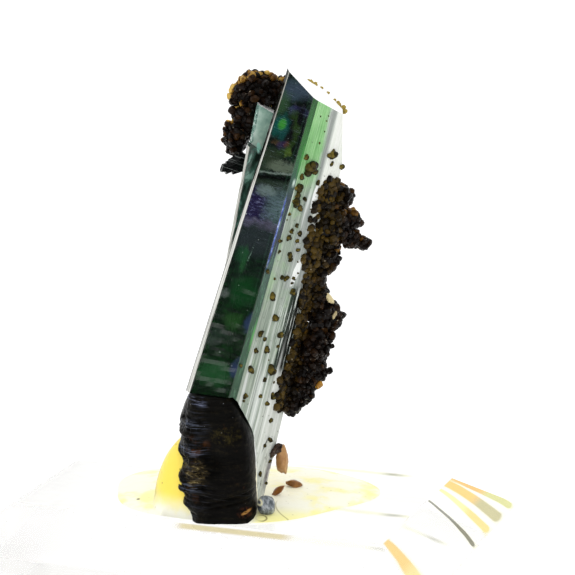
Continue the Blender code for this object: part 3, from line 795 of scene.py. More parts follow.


# What shows inside the dark front face, partly the crystal's own colour zones and partly painted glow and
# painted shade: share across, height along the prism, half sizes, colour, strength
frontGlows = [
    (0.42, 33.50, 0.80, 0.95, (58, 72, 88), 0.70),
    (0.66, 32.05, 0.42, 0.45, (64, 62, 116), 0.80),
    (0.06, 32.30, 0.30, 1.20, (46, 74, 48), 0.75),
    (0.74, 30.90, 0.42, 2.60, (8, 9, 11), 1.00),
    (0.25, 30.65, 0.34, 1.05, (14, 72, 66), 0.95),
    (0.37, 29.95, 0.14, 0.60, (18, 60, 58), 0.80),
    (0.25, 29.30, 0.20, 0.26, (80, 58, 36), 0.45),
    (0.44, 29.25, 0.20, 0.40, (42, 32, 66), 0.75),
    (0.60, 29.45, 0.14, 0.26, (86, 54, 36), 0.50),
    (0.70, 28.95, 0.16, 0.45, (76, 98, 40), 0.75),
    (0.20, 28.00, 0.50, 0.90, (42, 54, 38), 0.75),
    (0.66, 27.75, 0.55, 0.60, (92, 104, 88), 0.75),
    (0.45, 26.20, 0.95, 0.60, (38, 50, 40), 0.90),
    (0.22, 24.40, 0.62, 1.75, (30, 25, 58), 1.00),
    (0.84, 24.90, 0.50, 1.60, (76, 96, 98), 0.85),
    (0.42, 25.75, 0.40, 0.50, (104, 122, 118), 0.70),
    (0.50, 23.20, 0.95, 0.50, (80, 78, 96), 0.75),
    (0.50, 21.90, 0.95, 1.50, (36, 44, 46), 0.85),
    (0.36, 20.30, 0.12, 1.30, (38, 86, 48), 0.60),
    (0.26, 20.60, 0.28, 0.80, (26, 66, 40), 0.70),
    (0.10, 17.30, 0.14, 0.40, (84, 92, 88), 0.60),
    (0.62, 18.00, 0.50, 1.40, (12, 58, 24), 0.80),
    (0.30, 14.30, 0.50, 0.45, (40, 52, 46), 0.45),
    (0.55, 15.60, 0.32, 0.80, (34, 72, 30), 0.60),
    (0.99, 15.90, 0.16, 0.90, (44, 58, 92), 0.60),
    (0.97, 12.30, 0.16, 0.90, (46, 58, 92), 0.60),
    (0.45, 11.30, 0.55, 1.30, (28, 72, 38), 0.80),
    (0.15, 13.60, 0.30, 0.40, (60, 68, 64), 0.50),
]
# Spots on its faces: share across (or millimetres across), height along the prism, half sizes
vivianite = {
    "density": 1000.0,
    "absorb": (0.26, 0.50, 0.37),
    "refraction": 1.60,
    "greenSpot": (0.28, 30.70, 0.095, 0.31),
    "mossyRing": (0.36, 30.3, 0.42, 1.60),
    "upperGap": (0.510, 25.9, 0.050, 1.10),
    "lowerGap": (0.527, 20.1, 0.070, 1.20),
    "mintSpot": (-3.62, 28.25, 0.20, 0.30),
}


def crystalShares(finish):
    # Where a point lies in the crystal's frame, and its shares of the way across the named faces
    point = finish.place()
    across, away, height = (finish.along(point, stand["crystalFoot"], axis) for axis in crystalAxes)
    shrink = prism["scale"] * (1 - prism["taper"]) / prism["length"]
    scale = prism["scale"] - height * shrink
    a, b = across / scale, away / scale

    def share(first, second):
        start, end = np.array(prism[first]), np.array(prism[second])
        step = (end - start) / ((end - start) @ (end - start))
        return (a - float(start[0])) * float(step[0]) + (b - float(start[1])) * float(step[1])

    shares = {
        "front": share("narrowStart", "narrowEnd"),
        "bevel": share("narrowEnd", "broadStart"),
        "broad": share("broadStart", "broadEnd"),
        "strip": share("backLeft", "narrowStart"),
    }
    return point, across, height, shares


def frontPaint(finish, point, height, share):
    # Near-black green, partly the crystal's deep colour and partly painted shade, with fine streaks across it
    # and soft patches of colour, some of them painted glow
    warp = finish.noise(point, 0.9, 3.0) - 0.5
    drift = finish.noise(point, 2.6, 4.0, 0.65) - 0.5
    u = share + warp * 0.30 + drift * 0.20
    h = height + warp * 0.9 + drift * 0.9
    flecks = finish.noise(finish.vector(share * 3.0, height * 2.2), 1.6, 6.0, 0.7, 0.6)
    colour = finish.ramp(
        flecks, (0.30, 9, 13, 13), (0.50, 15, 26, 21), (0.66, 20, 48, 28), (0.86, 52, 84, 56),
    )
    lower = height.fall(15.0, 21.5)
    deep = finish.ramp(flecks, (0.34, 7, 12, 8), (0.56, 10, 34, 12), (0.80, 24, 74, 26))
    colour = finish.mix(lower * 0.85, colour, deep)
    grit = finish.noise(finish.vector(share * 7.0, height * 5.0, 2.0), 1.4, 5.0, 0.75)
    for centre, level, halfAcross, halfUp, tint, strength in frontGlows:
        reach = oval(u, h - (u - centre) * 0.35, (centre, level, halfAcross, halfUp))
        amount = reach.fall(0.0, 1.15) * strength * (0.70 + grit * 0.75)
        colour = finish.mix(amount.math("MINIMUM", amount, 1.0), colour, rgb(*tint))
    # A painted green glow of light inside the crystal
    glow = oval(share, height - share * 0.35, vivianite["greenSpot"])
    colour = finish.mix(glow.fall(0.0, 3.3) * (0.72 + grit * 0.35), colour, rgb(56, 134, 46))
    arc = oval(u, h, vivianite["mossyRing"]).near(1.0, 0.60) * (u - 0.25).smooth(0.0, 0.25)
    colour = finish.mix(arc * 0.50, colour, rgb(48, 74, 30))
    streak = finish.noise(finish.vector(share * 1.6 + height * 0.35, height * 9.0), 1.3, 5.0, 0.75)
    hazy = (height - 20.5).smooth(0.0, 3.0)
    colour = finish.mix(streak.smooth(0.54, 0.74) * (0.12 + hazy * 0.40), colour, rgb(122, 132, 148))
    colour = finish.mix(streak.fall(0.28, 0.48) * 0.65, colour, rgb(5, 8, 10))
    knots = finish.noise(finish.vector(share * 4.0, height * 3.4, 4.0), 1.6, 5.0, 0.75, 0.8)
    within = height.near(24.6, 2.2)
    colour = finish.mix(knots.smooth(0.52, 0.66) * within * 0.55, colour, rgb(112, 118, 150))
    colour = finish.mix(knots.fall(0.36, 0.48) * within * 0.75, colour, rgb(14, 12, 30))
    line = height - share * 0.58 - drift * 0.30
    bright = grit.smooth(0.30, 0.60) * 0.45 + 0.10
    colour = finish.mix(line.near(26.90, 0.14) * bright, colour, rgb(140, 156, 148))
    colour = finish.mix(line.near(26.52, 0.34) * 0.95, colour, rgb(3, 4, 4))
    crack = (share - 0.49 - (height - 20.7) * 0.027 + drift * 0.12).near(0.0, 0.022)
    crack = crack * height.near(20.7, 1.5) * grit.smooth(0.42, 0.60)
    colour = finish.mix(crack * 0.60, colour, rgb(128, 158, 142))
    speck = 1 - finish.cells(point, 1.7).smooth(0.0, 0.13)
    return finish.mix(speck * grit.smooth(0.46, 0.60) * 0.80, colour, rgb(186, 200, 192))


def broadPaint(finish, point, height, share):
    # Pale cleavage face: fine lines along it, green where it is thin, and greys and whites elsewhere that are
    # a painted pearly reflection, with painted shade beside the flank crust
    fine = finish.noise(finish.vector(share * 34.0, height * 0.22), 1.0, 5.0, 0.70)
    wide = finish.noise(finish.vector(share * 9.0, height * 0.07, 3.0), 1.0, 2.0, 0.5)
    patch = finish.noise(point, 0.45, 4.0, 0.6)
    colour = finish.ramp(
        fine, (0.30, 84, 98, 84), (0.44, 138, 150, 136), (0.58, 160, 172, 156), (0.74, 214, 222, 210),
    )
    tinted = finish.ramp(fine, (0.32, 96, 128, 86), (0.52, 150, 182, 138), (0.72, 186, 218, 170))
    colour = finish.mix(patch.smooth(0.46, 0.60) * height.smooth(11.0, 17.0) * 0.70, colour, tinted)
    plain = finish.ramp(fine, (0.34, 136, 140, 138), (0.60, 168, 172, 170), (0.78, 226, 228, 226))
    colour = finish.mix(share.smooth(0.24, 0.42) * height.smooth(16.5, 20.0) * 0.85, colour, plain)
    colour = finish.mix(wide.smooth(0.53, 0.62) * 0.60, colour, rgb(236, 240, 236))
    foot = height.fall(9.0, 15.0) * share.smooth(0.45, 0.62)
    colour = finish.mix(foot * 0.60, colour, rgb(232, 234, 228))
    high = (height + share * 1.5).smooth(26.0, 29.0)
    leaf = finish.ramp(
        fine + (patch - 0.5) * 0.5, (0.28, 84, 150, 72), (0.50, 128, 190, 114), (0.66, 152, 206, 138),
        (0.82, 196, 228, 184),
    )
    uneven = share + (patch - 0.5) * 0.20 + (height - 31.0) * 0.010
    colour = finish.mix(high * uneven.fall(0.33, 0.47) * 0.95, colour, leaf)
    band = uneven.near(0.475, 0.095) * height.smooth(23.0, 27.0)
    colour = finish.mix(band * (fine * 1.9 - 0.25), colour, rgb(140, 143, 140))
    clear = share.smooth(0.50, 0.60) * height.smooth(22.0, 26.0)
    pale = finish.ramp(fine, (0.30, 226, 232, 218), (0.60, 250, 251, 246))
    colour = finish.mix(clear * 0.95, colour, pale)
    wisp = finish.noise(finish.vector(share * 60.0, height * 0.45, 5.0), 1.0, 4.0, 0.7)
    streaky = height.near(16.2, 2.6) * share.smooth(0.28, 0.40)
    colour = finish.mix(wisp.smooth(0.54, 0.60) * streaky * 0.90, colour, rgb(18, 26, 18))
    colour = finish.mix(wisp.fall(0.40, 0.47) * streaky * 0.85, colour, rgb(240, 244, 240))
    # Painted shade beside the flank crust: near black, crossed by pale lines
    crustShade = share.smooth(0.53, 0.57) * height.smooth(11.6, 12.6) * height.fall(18.2, 19.4)
    bars = finish.noise(finish.vector(share * 30.0, height * 0.30, 9.0), 1.0, 4.0, 0.65)
    crustShadeBars = finish.ramp(bars, (0.48, 5, 8, 5), (0.55, 26, 36, 27), (0.60, 206, 212, 206))
    colour = finish.mix(crustShade * 0.97, colour, crustShadeBars)
    crustShadeDark = crustShade * bars.fall(0.52, 0.60)
    low = height.fall(11.0, 16.0)
    stripe = share.near(0.66, 0.040) + share.near(0.50, 0.020)
    stripe = stripe + share.near(0.40, 0.018) + share.near(0.27, 0.014)
    colour = finish.mix(stripe * low * 0.75, colour, rgb(242, 245, 240))
    dark = share.near(0.60, 0.014) + share.near(0.45, 0.012) + share.near(0.33, 0.010)
    colour = finish.mix(dark * low * 0.55, colour, rgb(86, 92, 86))
    leaning = share - (height - 20.1) * 0.039 + (patch - 0.5) * 0.08
    upperGap = oval(share, height, vivianite["upperGap"])
    lowerGap = oval(leaning, height, vivianite["lowerGap"])
    gaps = upperGap.fall(0.6, 1.2) + lowerGap.fall(0.7, 1.1)
    colour = finish.mix(gaps, colour, rgb(246, 248, 246))
    # Painted shade: a dark line along the crust's shaded edge
    colour = finish.mix(share.near(0.566, 0.016) * height.near(13.6, 1.9) * 1.2, colour, rgb(14, 18, 13))
    tail = (share - 0.815 - (height - 6.9) * 0.045).near(0.0, 0.016) * height.near(6.2, 0.9)
    colour = finish.mix(tail * 1.3, colour, rgb(30, 30, 20))
    shadow = share.smooth(0.88, 0.96) * height.near(3.8, 2.2)
    colour = finish.mix(shadow * (0.4 + fine), colour, rgb(104, 96, 108))
    ragged = finish.noise(finish.vector(share * 26.0, height * 0.9, 7.0), 1.0, 4.0, 0.7, 0.5)
    nearFoot = height.fall(4.5, 8.0)
    colour = finish.mix(ragged.smooth(0.56, 0.64) * nearFoot * 0.8, colour, rgb(84, 84, 72))
    colour = finish.mix(ragged.fall(0.36, 0.44) * nearFoot * 0.8, colour, rgb(244, 244, 236))
    dots = 1 - finish.cells(point, 1.4).smooth(0.0, 0.14)
    return finish.mix(dots * 0.75, colour, rgb(40, 58, 26)), crustShadeDark


def bevelPaint(finish, height, share):
    # The narrow face between the dark and the pale one: green above, navy with a painted highlight along it,
    # then grey-green
    threads = finish.noise(finish.vector(share * 5.0, height * 0.6), 1.0, 4.0, 0.6)
    colour = finish.ramp(
        height * (1 / 36), (0.20, 34, 74, 46), (0.44, 40, 78, 54), (0.55, 58, 84, 74),
        (0.61, 34, 36, 60), (0.71, 32, 36, 58), (0.76, 38, 78, 62), (0.82, 24, 104, 20),
        (0.92, 14, 78, 10),
    )
    lower = height.fall(24.0, 27.0)
    colour = finish.mix(threads.smooth(0.50, 0.72) * (0.14 + lower * 0.40), colour, rgb(120, 166, 132))
    colour = finish.mix(threads.fall(0.30, 0.46) * 0.60, colour, rgb(12, 24, 18))
    # Painted highlight: a navy band along the ridge, lit with pale blue-white streaks
    edge = share.fall(0.16, 0.42) * height.smooth(19.6, 22.0) * height.fall(24.8, 26.2)
    sheen = finish.noise(finish.vector(share * 1.5, height * 1.1, 6.0), 1.0, 4.0, 0.7)
    navyHighlight = finish.ramp(sheen, (0.40, 44, 56, 122), (0.52, 88, 112, 190), (0.64, 206, 218, 244))
    colour = finish.mix(edge * 1.3, colour, navyHighlight)
    rim = share.smooth(0.60, 0.95)
    above = rim * height.near(28.6, 2.2)
    colour = finish.mix(above * 0.50, colour, rgb(74, 168, 64))
    fleck = height.near(26.9, 0.45) * share.near(0.72, 0.30)
    colour = finish.mix(fleck, colour, rgb(206, 226, 214))
    return finish.mix(rim * height.near(15.0, 1.8) * 0.55, colour, rgb(112, 196, 104))


def sidePaint(finish, point, across, height, on, colour):
    # The two smaller crystals: the tall one pale teal with its top painted white as a highlight, the short
    # one dark with light sweeps
    cloud = finish.noise(point, 1.1, 4.0, 0.6)
    teal = finish.ramp(cloud, (0.30, 134, 170, 156), (0.50, 170, 204, 188), (0.70, 204, 228, 214))
    colour = finish.mix(on("tall"), colour, teal)
    flecks = finish.noise(point, 3.2, 3.0, 0.7)
    chalk = finish.ramp(flecks, (0.40, 60, 92, 84), (0.54, 138, 174, 160), (0.62, 236, 242, 238))
    colour = finish.mix(on("tallEdge"), colour, chalk)
    # Painted highlight: the tall crystal's top face white
    colour = finish.mix(on("tallTop"), colour, rgb(255, 255, 255))
    bend = finish.noise(point, 0.5, 2.0)
    swoosh = finish.noise(finish.vector(across * 1.6 + bend * 3.0, height * 0.55), 1.2, 3.0, 0.6)
    deep = finish.ramp(
        swoosh, (0.34, 14, 26, 20), (0.46, 42, 68, 58), (0.54, 66, 100, 88), (0.62, 126, 164, 150),
    )
    mossy = finish.ramp(swoosh, (0.36, 12, 24, 12), (0.50, 34, 66, 36), (0.64, 104, 134, 108))
    deep = finish.mix(height.fall(18.0, 23.0), deep, mossy)
    deep = finish.mix(across.smooth(-3.80, -3.60) * height.near(27.7, 0.8) * 1.6, deep, rgb(4, 6, 6))
    colour = finish.mix(on("short"), colour, deep)
    line = finish.noise(finish.vector(across * 9.0, height * 0.3), 1.0, 3.0)
    pale = finish.ramp(line, (0.40, 120, 122, 114), (0.52, 196, 196, 188), (0.66, 222, 222, 216))
    colour = finish.mix(on("shortEdge"), colour, pale)
    colour = finish.mix(on("shortTop"), colour, rgb(8, 12, 12))
    mint = vivianite["mintSpot"]
    shine = oval(across, height + (across - mint[0]) * 0.8, mint)
    shine = shine.fall(0.5, 1.1) * on("tall", "short", "shortTop")
    return finish.mix(shine, colour, rgb(190, 252, 234))


def vivianiteFinish():
    # Dark glass under a body whose paint changes from face to face. Metal takes the sheen off the black parts
    finish = Finish("vivianite")
    point, across, height, shares = crystalShares(finish)
    facet = finish.attribute("facet")

    def on(*names):
        total = 0.0
        for name in names:
            total = facet.equals(float(facetNumber[name])) + total
        return total

    cloud = finish.noise(point, 0.8, 4.0, 0.6)
    colour = finish.ramp(cloud, (0.30, 10, 26, 18), (0.55, 22, 62, 36), (0.80, 70, 120, 80))
    colour = finish.mix(on("front"), colour, frontPaint(finish, point, height, shares["front"]))
    colour = finish.mix(on("bevel"), colour, bevelPaint(finish, height, shares["bevel"]))
    broad, crustShadeDark = broadPaint(finish, point, height, shares["broad"])
    colour = finish.mix(on("broadLeft", "broadRight"), colour, broad)
    # Painted reflection: the sloping top white, as it mirrors the bright back
    colour = finish.mix(on("termination"), colour, rgb(255, 255, 255))
    colour = finish.mix(on("steep"), colour, rgb(232, 240, 228))
    line = finish.noise(finish.vector(shares["strip"] * 6.0, height * 0.25), 1.0, 3.0)
    strip = finish.ramp(line, (0.36, 128, 128, 120), (0.48, 206, 206, 198), (0.66, 236, 236, 230))
    shaded = 1 - (shares["strip"] - height.smooth(23.0, 32.0) * 0.60).smooth(0.16, 0.26)
    strip = finish.mix(height.smooth(27.5, 32.5) * 0.55, strip, rgb(112, 108, 96))
    strip = finish.mix(shaded * 0.95, strip, rgb(12, 18, 15))
    colour = finish.mix(on("leftStrip"), colour, strip)
    colour = sidePaint(finish, point, across, height, on, colour)
    # How much of the painted body covers the glass: some everywhere, more on the named faces
    veil = 0.30 + on("front") * 0.55 + on("bevel") * 0.55 + on("broadLeft", "broadRight") * 0.55
    veil = veil + on("termination", "tallTop") * 0.70 + on("steep") * 0.45 + on("leftStrip") * 0.60
    veil = veil + on("tall", "short", "tallEdge", "shortEdge", "shortTop") * 0.55
    threads = finish.noise(finish.vector(shares["broad"] * 60.0, height * 0.25), 1.0, 3.0)
    relief = finish.noise(point, 1.6, 3.0) * 0.35 + on("broadLeft", "broadRight") * threads * 0.65
    normal = finish.bump(relief, 0.25, 0.05)
    glass = finish.principled(
        Base_Color=(0.90, 0.97, 0.92), Roughness=0.02, IOR=vivianite["refraction"], Transmission_Weight=1.0,
        Normal=normal,
    )
    rough = 0.10 + on("broadLeft", "broadRight") * 0.22 + on("termination", "tallTop") * 0.60
    dim = shaded * on("leftStrip") + crustShadeDark * on("broadLeft", "broadRight")
    body = finish.principled(Base_Color=colour, Roughness=rough, Metallic=dim, IOR=1.45, Normal=normal)
    surface = finish.node("ShaderNodeMixShader", None, {0: veil, 1: glass, 2: body})
    sockets = {"Color": vivianite["absorb"], "Density": vivianite["density"]}
    return finish.show(surface, finish.node("ShaderNodeVolumeAbsorption", None, sockets))


def makeVivianite():
    # The main crystal joined with the two smaller ones
    finish = vivianiteFinish()
    main = makeMainCrystal(finish)
    helpers = [makeSideCrystal(name, finish) for name in ("short", "tall")]
    for helper in helpers:
        union = main.modifiers.new("union", "BOOLEAN")
        union.operation = "UNION"
        union.object = helper
        union.solver = "EXACT"
    graph = bpy.context.evaluated_depsgraph_get()
    graph.update()
    mesh = bpy.data.meshes.new_from_object(main.evaluated_get(graph))
    for helper in (main, *helpers):
        bpy.data.objects.remove(helper)
    mesh.name = "vivianite_crystals"
    piece = putInScene("vivianite_crystals", mesh)
    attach(piece, "root")
    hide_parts("vivianite")
    print("made vivianite_crystals", len(mesh.polygons), "faces")


makeVivianite()


def rootFinish():
    # Black with a faint brown-olive cast; striated tan and rust patches, and silvery patches and specks that
    # are painted highlights
    finish = Finish("root mineral")
    point = finish.place()
    across, away, height = (finish.along(point, stand["rootFoot"], axis) for axis in rootAxes)
    flat = finish.vector(across * 0.5, away * 0.5, height * 2.4)
    grain = finish.noise(flat, 1.3, 6.0, 0.6)
    fine = finish.noise(point, 3.2, 5.0, 0.7)
    colour = finish.ramp(
        grain * 0.6 + fine * 0.4, (0.34, 2, 2, 2), (0.52, 8, 7, 5), (0.64, 24, 20, 11), (0.80, 62, 52, 34),
    )
    olive = oval(across, height, root["olive"])
    amount = olive.fall(0.2, 1.0) * fine.smooth(0.42, 0.66) * 0.65
    colour = finish.mix(amount, colour, rgb(50, 44, 16))
    crumbs = finish.noise(flat, 3.0, 5.0, 0.7)
    sand = oval(across + (grain - 0.5) * 1.2, height + (fine - 0.5) * 1.4, root["sand"])
    sheets = finish.vector(across * 1.8 + height * 0.9, away * 0.5, height * 4.2)
    sheets = finish.noise(sheets, 1.0, 5.0, 0.75, 0.7)
    sandy = finish.ramp(sheets, (0.40, 14, 11, 6), (0.54, 62, 52, 30), (0.70, 142, 128, 88))
    colour = finish.mix(sand.fall(0.30, 1.2) * crumbs.smooth(0.34, 0.50) * 0.95, colour, sandy)
    rust = finish.noise(point, 0.9, 4.0, 0.6)
    rusty = 1 - oval(across, height, root["rust"]).smooth(0.3, 1.1)
    amount = rusty * rust.smooth(0.46, 0.62) + rust.smooth(0.62, 0.76) * 0.5
    colour = finish.mix(amount * 0.45, colour, rgb(78, 46, 20))
    spot = oval(across, height - (across - root["tanSpot"][0]) * 0.4, root["tanSpot"])
    halo = oval(across, height, root["brownHalo"])
    colour = finish.mix(halo.fall(0.2, 1.0) * fine.smooth(0.40, 0.60) * 0.8, colour, rgb(64, 32, 16))
    colour = finish.mix(spot.fall(0.2, 1.0) * crumbs.smooth(0.34, 0.50), colour, rgb(156, 112, 58))
    # Painted highlights: a silvery sheen on ledges at the left and at the top left
    paintedSheen = finish.noise(finish.vector(across * 0.6 + height * 0.5, away * 0.4, height * 6.0), 1.2, 4.0, 0.6)
    left = across.fall(-2.6, -0.9)
    ledges = height.near(5.6, 0.6) * 0.7 + height.near(2.9, 0.5) * 0.7
    ledges = ledges + height.near(7.7, 0.6) * 0.6 + 0.12
    colour = finish.mix(left * ledges * paintedSheen.smooth(0.50, 0.66) * 0.75, colour, rgb(104, 112, 132))
    topLeft = (1 - (across + height * 0.3).smooth(0.9, 1.6)) * (height + across * 0.10).smooth(8.95, 9.20)
    colour = finish.mix(topLeft * paintedSheen.smooth(0.44, 0.60) * 0.80, colour, rgb(112, 118, 142))
    seams = finish.noise(finish.vector(across * 0.5, 0.0, height * 9.0), 1.3, 3.0, 0.6)
    colour = finish.mix(topLeft * seams.smooth(0.54, 0.62) * 0.9, colour, rgb(8, 9, 14))
    lines = finish.noise(finish.vector(across * 0.25, 0.0, height * 7.0 + across * 0.9), 1.0, 3.0, 0.6)
    colour = finish.mix(height.near(2.0, 0.8) * lines.smooth(0.56, 0.66) * 0.45, colour, rgb(78, 80, 84))
    # Painted glints: small pale specks
    paintedGlint = 1 - finish.cells(point, 2.6).smooth(0.0, 0.12)
    colour = finish.mix(paintedGlint * fine.smooth(0.56, 0.64) * 0.8, colour, rgb(176, 180, 184))
    normal = finish.bump(grain * 0.5 + crumbs * 0.2 + fine * 0.4, 0.55, 0.10)
    return finish.show(finish.principled(Base_Color=colour, Roughness=0.36, IOR=1.13, Normal=normal))


def makeRoot():
    # A squarish ring between the outline's edges at each height, pushed in and out by flat ledges and crumbs
    rows, columns = root["rows"], root["columns"]
    height = np.linspace(root["foot"], root["top"], rows)[:, None]
    angle = np.linspace(0, math.tau, columns, endpoint=False)[None, :]
    left, right = np.interp(height, rootHeights, rootLeft), np.interp(height, rootHeights, rootRight)
    middle, half = (left + right) / 2, (right - left) / 2
    away, deep = (root["front"] + root["back"]) / 2, (root["back"] - root["front"]) / 2
    cos, sin = np.cos(angle), np.sin(angle)
    squareX, squareY = root["squareness"]
    x = middle + half * np.sign(cos) * np.abs(cos) ** squareX
    y = away + deep * np.sign(sin) * np.abs(sin) ** squareY + height * 0
    z = height + angle * 0
    spot = np.stack([x, y, z], -1)
    share = (x - left) / (right - left)
    calm = np.clip((share - 0.30 - 0.10 * lumps(spot, 2.0, 27, 2)) * 5, 0, 1)
    chunk = lumps(spot * np.array([0.55, 0.55, 0.85]), 1.0, 3, 3)
    present = np.clip(lumps(spot * np.array([0.6, 0.6, 0.8]), 1.0, 19, 1) * 2.5 + 0.5, 0, 1)
    slabs = np.floor(z * 3.2 + 1.2 * lumps(spot * np.array([0.6, 0.6, 0.4]), 1.0, 8, 2))
    ledge = hashedSteps(slabs, 14) * present
    crumb = lumps(spot, 0.45, 5, 3)
    rough = 0.26 * chunk - 0.34 * ledge + 0.10 * crumb
    even = 0.07 * lumps(spot * np.array([0.6, 0.6, 1.0]), 1.0, 23, 3) + 0.025 * crumb
    ridge = 0.10 * np.exp(-((z - 2.0 - 0.25 * x) / 0.10) ** 2)
    ridge = ridge + 0.07 * np.exp(-((z - 1.55 - 0.20 * x) / 0.09) ** 2)
    hollow = root["hollowDepth"] * (np.exp(-oval(x, z, root["hollow"])) * (sin < 0))
    lump = root["lumpHeight"] * (np.exp(-oval(x, z, root["lump"])) * (sin < 0))
    push = (rough - 0.02) * (1 - calm) + (even - ridge) * calm - hollow + lump
    outX, outY = cos * np.abs(cos) ** 0.3, sin
    x = np.clip(x + push * outX, left - 0.03, right + 0.02)
    y = y + push * outY * 1.2
    points = np.stack([x, y, z], -1)
    shares = np.linspace(1, 0, root["lidRings"] + 2)[1:-1, None]
    rim = points[-1]
    centre = rim.mean(0)
    lid = centre + (rim - centre) * shares[..., None]
    dips = np.abs(lumps(lid * np.array([1.0, 1.0, 0.0]), 0.9, 12, 3))
    lid[..., 2] = root["top"] - root["lidDrop"] * dips * (1 - shares)
    points = np.concatenate([points, lid]).reshape(-1, 3)
    total = rows + len(shares)
    tip = len(points)
    points = np.concatenate([points, [[*centre[:2], root["top"] - 0.1]], [[*centre[:2], root["foot"]]]])
    fans = fanFaces(tip - columns, columns, tip) + fanFaces(0, columns, tip + 1, inward=True)
    addPiece(
        "root_ledges", fromRoot(points), gridFaces(total, columns), rootFinish(),
        ["broken_root"], polygons=fans,
    )


makeRoot()

# Siderite: rounded, flattened rhombs crowded on dark lumps. Each lobe has its centre and half sizes in the
# crystal's frame, and the border its height along the prism and share of the way across the pale face
crusts = {
    "crown": {
        "lobes": [
            (-4.55, 3.10, 32.25, 1.60, 1.50, 1.30), (-3.00, 3.20, 32.50, 1.15, 1.30, 0.95),
            (-5.80, 3.10, 31.50, 0.80, 0.80, 0.70), (-6.20, 3.05, 31.00, 0.42, 0.45, 0.36),
            (-5.75, 3.10, 30.10, 0.55, 0.60, 0.35), (-4.90, 3.20, 29.90, 1.00, 1.20, 1.60),
            (-5.45, 3.00, 28.40, 0.92, 1.10, 1.20), (-5.25, 2.80, 27.30, 0.60, 0.70, 0.42),
            (-3.15, 3.05, 31.20, 0.40, 0.60, 0.50),
        ],
        "node": "siderite_crown",
        "seed": 3,
        "shine": 1.0,
        "olive": 0.0,
    },
    "flank": {
        "lobes": [
            (3.20, 1.90, 26.15, 0.95, 1.10, 0.80), (2.15, 0.75, 25.70, 0.70, 0.80, 1.20),
            (3.00, 1.70, 23.60, 1.50, 1.45, 1.85), (4.40, 2.20, 24.45, 0.85, 0.90, 0.70),
            (5.00, 2.40, 23.05, 0.75, 0.80, 0.62), (6.00, 2.40, 22.95, 0.45, 0.50, 0.48),
            (2.20, 0.75, 21.70, 0.75, 0.80, 1.15), (3.40, 1.90, 21.20, 1.05, 1.20, 1.35),
            (3.25, 1.80, 19.40, 0.60, 0.90, 0.75), (3.50, 1.90, 18.30, 0.80, 1.10, 0.90),
            (4.30, 2.20, 17.00, 1.10, 1.20, 1.30), (5.30, 2.40, 16.70, 0.60, 0.80, 0.80),
            (4.30, 2.10, 14.50, 1.30, 1.40, 1.55), (4.45, 2.20, 12.40, 1.40, 1.40, 1.40),
            (4.10, 2.00, 10.60, 1.10, 1.20, 1.15), (3.80, 1.90, 9.50, 0.65, 0.90, 0.75),
        ],
        "border": [
            (9.0, 0.83), (10.3, 0.76), (11.5, 0.755), (12.6, 0.81), (14.9, 0.83), (17.5, 0.77),
            (18.7, 0.73), (19.9, 0.63), (20.9, 0.61), (22.2, 0.55), (23.4, 0.51), (24.5, 0.50),
            (25.6, 0.52), (26.6, 0.60), (27.4, 0.68),
        ],
        "node": "siderite_flank",
        "seed": 5,
        "shine": 0.55,
        "olive": 0.85,
    },
    "spacing": 0.36,
    "grain": (0.22, 0.74),
    "flatten": 0.80,
    "coreShare": 0.88,
    "lit": (-0.70, 0.0, 0.70),
    "roundness": 2.8,
    "jitter": 0.07,
    "lobeOverlap": 0.90,
    "depthInCrystal": 0.12,
    "strewn": 420,
}


def grainShape():
    # A cube of two by two squares a side, its points pushed towards a ball, stood on a corner and flattened
    line = np.array([-1.0, 0.0, 1.0])
    points, quads = [], []
    for axis in range(3):
        for side in (-1.0, 1.0):
            first = len(points)
            for u in line:
                for v in line:
                    point = [0.0, 0.0, 0.0]
                    point[axis], point[(axis + 1) % 3], point[(axis + 2) % 3] = side, u, v
                    points.append(point)
            for i in range(2):
                for j in range(2):
                    a = first + i * 3 + j
                    quad = [a, a + 3, a + 4, a + 1]
                    quads.append(quad if side > 0 else quad[::-1])
    points = np.array(points)
    unique, inverse = np.unique(points, axis=0, return_inverse=True)
    quads = inverse.reshape(-1)[np.array(quads)]
    power = crusts["roundness"]
    shape = unique / (np.abs(unique) ** power).sum(1, keepdims=True) ** (1 / power)
    upright = np.array(Vector((1, 1, 1)).rotation_difference(Vector((0, 0, 1))).to_matrix())
    shape = shape @ upright.T * np.array([1.0, 1.0, crusts["flatten"]])
    return shape * 0.5 / np.abs(shape).max(), quads


grainPoints, grainQuads = grainShape()


def randomTurns(count, rng):
    # One rotation matrix for each grain, from random unit quaternions
    q = rng.normal(size=(count, 4))
    w, x, y, z = (q / np.linalg.norm(q, axis=1, keepdims=True)).T
    return np.stack([
        np.stack([1 - 2 * (y * y + z * z), 2 * (x * y - z * w), 2 * (x * z + y * w)], -1),
        np.stack([2 * (x * y + z * w), 1 - 2 * (x * x + z * z), 2 * (y * z - x * w)], -1),
        np.stack([2 * (x * z - y * w), 2 * (y * z + x * w), 1 - 2 * (x * x + y * y)], -1),
    ], 1)


def scatter(centres, sizes, rng):
    # The grain's mesh repeated at each centre, turned at random and scaled to its size
    turns = randomTurns(len(centres), rng)
    points = np.einsum("nij,vj->nvi", turns, grainPoints) * sizes[:, None, None] + centres[:, None]
    count = len(grainPoints)
    faces = grainQuads[None] + (np.arange(len(centres)) * count)[:, None, None]
    return points.reshape(-1, 3), faces.reshape(-1, 4)


def insideCrystal(points, margin):
    # True for points deeper than a margin inside the main crystal
    scale = taperAt(points[:, 2])
    inside = np.ones(len(points), bool)
    for name in facets:
        start, end = sideOf(name)
        inside &= (points[:, :2] / scale[:, None] - start) @ outwardOf(start, end) * scale < -margin
    sloping = prism["topHeight"] + prism["topFall"] * points[:, 0] + prism["topBackRise"] * points[:, 1]
    return inside & (points[:, 2] < sloping - margin)


